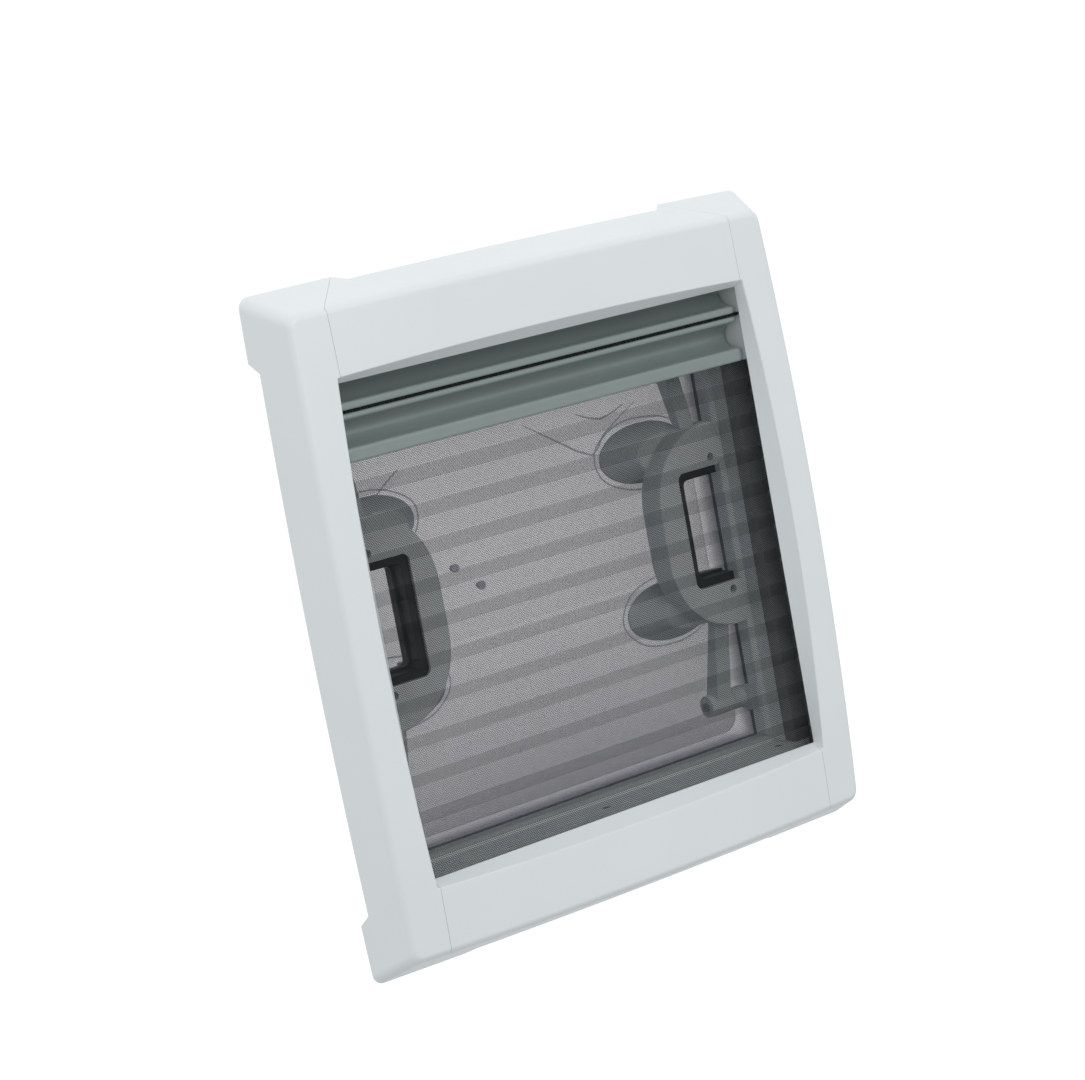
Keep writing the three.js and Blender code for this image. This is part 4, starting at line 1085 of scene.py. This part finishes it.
def pan_screw(head_radius, head_height, shank_radius, length, recess, sides=28):
    """A screw along +X: a domed head, ridges for its thread, a blunt point and a cross recess."""
    profile = [(0, 0)] + [(head_height * (1 - math.cos(math.radians(a))) * 0.8,
                           head_radius * math.sin(math.radians(a)) ** 0.6) for a in range(15, 91, 15)]
    profile += [(head_height, head_radius), (head_height, shank_radius)]
    turns = int((length - head_height) / SCREW_PITCH)
    for i in range(turns):
        x = head_height + 0.6 + i * SCREW_PITCH
        root = shank_radius * THREAD_ROOT
        profile += [(x, shank_radius), (x + 0.3, root), (x + 0.9, root)]
    profile += [(length - 0.6, shank_radius * 0.8), (length, shank_radius * 0.3)]
    loops = [[(x, r * math.cos(2 * math.pi * i / sides), r * math.sin(2 * math.pi * i / sides))
              for i in range(sides)] for x, r in profile[1:]]
    screw = loft("screw", loops, smooth=40)
    for across, along in ((recess, recess * RECESS_ARM), (recess * RECESS_ARM, recess)):
        cross = block("cross", (-PAST, head_height * 0.7), (-across, across), (-along, along))
        combine(screw, cross, "DIFFERENCE")
    return finish_mesh(screw, CUT_ANGLE)


def seat_screw(node_name, name, body, axis, sign, sizes):
    """axis and sign give the way in which the screw is driven."""
    screw = pan_screw(*sizes)
    low, high = box_mm(node_name)
    centre = [(a + b) / 2 for a, b in zip(low, high)]
    index = "xyz".index(axis)
    centre[index] = low[index] if sign > 0 else high[index]
    way = Vector([sign if i == index else 0 for i in range(3)])
    turned = way.to_track_quat("X", "Z").to_matrix().to_4x4()
    screw.matrix_world = Matrix.Translation(Vector(centre) * MM) @ turned
    screw.data.transform(screw.matrix_world)
    screw.matrix_world = Matrix.Identity(4)
    return place(screw, name, body, "screw_steel", zinc, node_name)


def all_screws():
    screws = sorted(name for name in frame["nodes"] if "_screw_" in name)
    for node_name in screws:
        low, high = box_mm(node_name)
        if node_name.startswith("frame_screw"):
            way = node_name.split("_")[2]
            axis, sign = {"left": ("x", -1), "right": ("x", 1), "top": ("z", 1), "bottom": ("z", -1)}[way]
            index = "xyz".index(axis)
            sizes = (FRAME_SCREW_HEAD, FRAME_SCREW_HEIGHT, SCREW_SHANK, high[index] - low[index],
                     FRAME_SCREW_RECESS)
            name = node_name.replace("frame_screw", "pan_screw")
            seat_screw(node_name, name, "frame", axis, sign, sizes)
        else:
            sizes = ((high[0] - low[0]) / 2, HANDLE_SCREW_HEIGHT, SCREW_SHANK, high[1] - low[1],
                     HANDLE_SCREW_RECESS)
            name = node_name.replace("handle_screw", "handle_pan_screw")
            seat_screw(node_name, name, "dome", "y", 1, sizes)
    return len(screws)


print("screws", all_screws())

# %% [markdown]
# ## Dome
# The dome is two walls: a flat inner pane and a blown outer shell with a flat rim and a drip edge. The
# shell's section is a curve through a few heights, so it is lofted from rounded squares that shrink and
# soften towards the crown. Both are kept as thin closed solids, so that each wall has two faces.

# %% Inner pane and outer shell
dome_low, dome_high = box_mm("outer_dome")
RIM_HALF = dome_high[0]
DOME_WALL = 3
DRIP = 9                           # the rim's edge hangs down by this
RIM_Y = dome_low[1] + DRIP
SHELL_HALF = 191                   # where the blown shell rises from the rim
DOME_TOP = dome_high[1]
RIM_PAINTED_SHADE, EDGE_PAINTED_SHADE = 0.6, 0.1     # painted shade: how much more a wall hides at the shell's rim and the pane's lower edge
PANE_CORNER = 14
PLUG_HEAD, PLUG_STEM, PLUG_HOLE, PLUG_DIMPLE = 3.6, 2.6, 2.9, 1.5


def smooth_through(rows, steps=4):
    """A Catmull-Rom curve through rows of numbers."""
    made = []
    for i in range(len(rows) - 1):
        a, b, c, d = (rows[max(0, min(len(rows) - 1, i + k))] for k in (-1, 0, 1, 2))
        for j in range(steps):
            t = j / steps
            made.append([0.5 * (2 * q + (r - p) * t + (2 * p - 5 * q + 4 * r - s) * t * t
                                + (3 * q - p - 3 * r + s) * t ** 3) for p, q, r, s in zip(a, b, c, d)])
    return made + [rows[-1]]


def outer_dome():
    """Rounded squares from inside the crown, round the rim and up to the crown: half-width, y, corner."""
    shell = [(SHELL_HALF, RIM_Y + DOME_WALL, 9), (SHELL_HALF - 0.5, RIM_Y + 11, 9),
             (SHELL_HALF - 3, RIM_Y + 17, 12), (SHELL_HALF - 9, DOME_TOP - 15, 18),
             (SHELL_HALF - 26, DOME_TOP - 9, 30), (130, DOME_TOP - 4, 40),
             (80, DOME_TOP - 1.2, 36), (30, DOME_TOP, 20)]
    outside = smooth_through(shell)
    inside = [(half - DOME_WALL, y - DOME_WALL, radius) for half, y, radius in reversed(outside)]
    rim = [(RIM_HALF - DOME_WALL, RIM_Y, 10), (RIM_HALF - DOME_WALL, RIM_Y - DRIP, 10),
           (RIM_HALF, RIM_Y - DRIP, 12), (RIM_HALF, RIM_Y + DOME_WALL - 1, 12),
           (RIM_HALF - 1, RIM_Y + DOME_WALL, 11)]
    rows = inside[:-2] + [(SHELL_HALF - DOME_WALL, RIM_Y, 9)] + rim + outside
    loops = [level(rounded(half, half, radius, edge_steps=6, corner_steps=10), y)
             for half, y, radius in rows]
    dome = loft("dome", loops, smooth=30)
    # painted shade: the shell reads darker towards its rim
    finish = clear_acrylic("blown_acrylic", "Y", RIM_Y - DRIP, DOME_TOP + 4, RIM_PAINTED_SHADE)
    return place(dome, "dome_shell", "dome", "acrylic", finish, "outer_dome")


def inner_pane():
    outline = rounded(pane_high[0], pane_high[0], PANE_CORNER, corner_steps=12)
    pane = loft("pane", [level(outline, pane_low[1]), level(outline, pane_high[1])])
    for number in (1, 2):
        low, high = box_mm(f"breather_plug_{number}")
        centre = ((low[0] + high[0]) / 2, (low[2] + high[2]) / 2)
        hole = rod("hole", "y", PLUG_HOLE, pane_low[1] - PAST, pane_high[1] + PAST, centre)
        combine(pane, hole, "DIFFERENCE")
        head = rod("plug", "y", PLUG_HEAD, low[1], pane_low[1] - TOUCH_GAP, centre, 48)
        soften(head, 0.8, 4)
        combine(head, rod("stem", "y", PLUG_STEM, low[1] + 0.5, high[1], centre), "UNION")
        dimple = rod("dimple", "y", PLUG_DIMPLE, low[1] - PAST, low[1] + 0.8, centre)
        combine(head, dimple, "DIFFERENCE")
        place(finish_mesh(head, CUT_ANGLE), f"plug_{number}", "dome", "plug_grey", polyethylene,
              f"breather_plug_{number}")
    # painted shade: the pane reads darker towards its lower edge
    finish = clear_acrylic("cast_acrylic", "Z", pane_low[2], 0, EDGE_PAINTED_SHADE)
    return place(pane, "inner_pane", "dome", "acrylic", finish, "inner_dome")


print("dome faces", len(outer_dome().data.polygons), "pane faces", len(inner_pane().data.polygons))

# %% [markdown]
# ## Adhesive beads
# The handles are bonded to the pane. A little clear adhesive has squeezed out and set in a thin bead a
# few millimetres outside each foot.

# %% Beads
BEAD_OFFSET, BEAD_RADIUS = 4, 0.7  # outside the foot, and half the bead's width
BEAD_HEIGHT, BEAD_DROP = 0.4, 0.45 # half its height, and how far its middle is from the pane
BEAD_AROUND, BEAD_SIDES = 90, 8


def clear_adhesive():
    """Set adhesive: half clear, a little blue, with a soft gloss."""
    material, tree, shader = new_material("clear_structural_adhesive", Roughness=0.25, IOR=1.5, Alpha=0.4)
    mottled(tree, shader, "#a9b8dc", "#9fafd4", 8, 2)
    return material


bead_finish = clear_adhesive()


def bead(name, side_sign, level_sign):
    half_x, half_z = (half + BEAD_OFFSET for half in FOOT_HALF)
    loops = []
    for i in range(BEAD_AROUND):
        turn = 2 * math.pi * i / BEAD_AROUND
        wander = 0.5 * math.sin(3 * turn + side_sign) + 0.3 * math.sin(7 * turn + level_sign)
        loop = []
        for j in range(BEAD_SIDES):
            angle = 2 * math.pi * j / BEAD_SIDES
            reach = BEAD_RADIUS * math.cos(angle) + wander
            loop.append((side_sign * (FOOT_CENTRE[0] + (half_x + reach) * math.cos(turn)),
                         pane_low[1] - BEAD_DROP + BEAD_HEIGHT * math.sin(angle),
                         level_sign * (FOOT_CENTRE[1] + (half_z + reach) * math.sin(turn))))
        loops.append(loop)
    return place(loft("bead", loops, ring=True, smooth=80), name, "dome", "acrylic", bead_finish)


for side_name, side_sign in SIDES:
    for level_name, level_sign in LEVELS:
        bead(f"adhesive_bead_{level_name}_{side_name}", side_sign, level_sign)
print("adhesive beads made")

# %% [markdown]
# ## Creases in the film
# The pane still has its thin clear protective film. Where the film has lifted it has creased into
# narrow raised folds, which show as faint blue-grey lines. Each fold is a low ridge along a few points,
# given as (x, z), and tapers off at both ends.

# %% Film creases
CREASE_WIDTH, CREASE_HEIGHT = 1.6, 0.35
CREASES = (((25, 112), (55, 92), (86, 74), (100, 88), (136, 108)), ((76, 110), (100, 101), (124, 108)),
           ((-128, 82), (-112, 94), (-96, 104)))


def crease(number, corners):
    path = smooth_through([list(p) for p in corners], 2)
    loops = []
    for i, (x, z) in enumerate(path):
        x0, z0 = path[max(0, i - 1)]
        x1, z1 = path[min(len(path) - 1, i + 1)]
        reach = math.hypot(x1 - x0, z1 - z0)
        taper = math.sin(math.pi * (i + 0.5) / len(path)) ** 0.5
        across = ((z0 - z1) / reach * CREASE_WIDTH * taper / 2, (x1 - x0) / reach * CREASE_WIDTH * taper / 2)
        foot = pane_low[1] - TOUCH_GAP
        loops.append([(x - across[0], foot, z - across[1]), (x, foot - CREASE_HEIGHT * taper, z),
                      (x + across[0], foot, z + across[1]), (x, foot + 0.1, z)])
    return place(loft("crease", loops, smooth=80), f"film_crease_{number}", "dome", "acrylic", bead_finish)


for number, corners in enumerate(CREASES, 1):
    crease(number, corners)
print("film creases", len(CREASES))

# %% [markdown]
# ## Floor, backdrop and light
# The object hangs over a floor of back-lit white paper, in front of a white sky. The paper is seen, but
# it neither lights the object nor shows in its gloss. The light is a large soft sky, stronger from above
# and from behind, with one broad soft lamp in front. The world looks white to the camera but lights the
# object with less, so that white mouldings still show their shape.

# %% Stage
FLOOR_HALF, FLOOR_TOP, FLOOR_THICKNESS = 5000, -1100, 10


def paper(name):
    """Back-lit paper: its own light makes it white, so what falls on it hardly shows."""
    return new_material(name, Roughness=0.9, Base_Color=linear("#303030"), Emission_Color=linear("#ffffff"),
                        Emission_Strength=1.03)[0]


floor = block("floor", (-FLOOR_HALF, FLOOR_HALF), (-FLOOR_HALF, FLOOR_HALF),
              (FLOOR_TOP - FLOOR_THICKNESS, FLOOR_TOP))
floor.data.materials.append(paper("matt_white_floor_paper"))
floor.visible_diffuse = False
floor.visible_glossy = False
bpy.context.scene.view_settings.view_transform = "Standard"


# %% Light
SKY_LOW, SKY_HIGH = 0.42, 0.86     # strength from below and from above
SKY_BEHIND = 0.5                   # added from the roof's side
SKY_SEEN = 1.05                    # what the camera sees of it


def studio_world():
    world = bpy.data.worlds.new("studio")
    bpy.context.scene.world = world
    world.use_nodes = True
    tree = world.node_tree
    tree.nodes.clear()
    around = node(tree, "ShaderNodeTexCoord").outputs["Generated"]
    way = node(tree, "ShaderNodeSeparateXYZ", {"Vector": around})
    sky = node(tree, "ShaderNodeMapRange", {"Value": way.outputs["Z"], "From Min": -1, "From Max": 1,
               "To Min": SKY_LOW, "To Max": SKY_HIGH}).outputs["Result"]
    behind = node(tree, "ShaderNodeMapRange", {"Value": way.outputs["Y"], "To Max": SKY_BEHIND})
    glow = node(tree, "ShaderNodeMath", {0: sky, 1: behind.outputs["Result"]}, operation="ADD").outputs[0]
    lit = node(tree, "ShaderNodeBackground", {"Color": linear("#f3f8fa"), "Strength": glow})
    seen = node(tree, "ShaderNodeBackground", {"Color": linear("#ffffff"), "Strength": SKY_SEEN})
    ray = node(tree, "ShaderNodeLightPath")
    mix = node(tree, "ShaderNodeMixShader", {0: ray.outputs["Is Camera Ray"], 1: lit.outputs[0],
               2: seen.outputs[0]})
    node(tree, "ShaderNodeOutputWorld", {"Surface": mix.outputs[0]})


studio_world()


def softbox(name, at_mm, aim_mm, size_mm, watts):
    data = bpy.data.lights.new(name, "AREA")
    data.shape = "RECTANGLE"
    data.size, data.size_y = (v * MM for v in size_mm)
    data.energy = watts
    lamp = bpy.data.objects.new(name, data)
    at = Vector(at_mm) * MM
    lamp.location = at
    lamp.rotation_euler = (Vector(aim_mm) * MM - at).to_track_quat("-Z", "Y").to_euler()
    bpy.context.scene.collection.objects.link(lamp)


softbox("front", (-200, -1900, 900), (0, 0, 0), (1800, 1200), 10.5)
print("lights", len(bpy.data.lights))
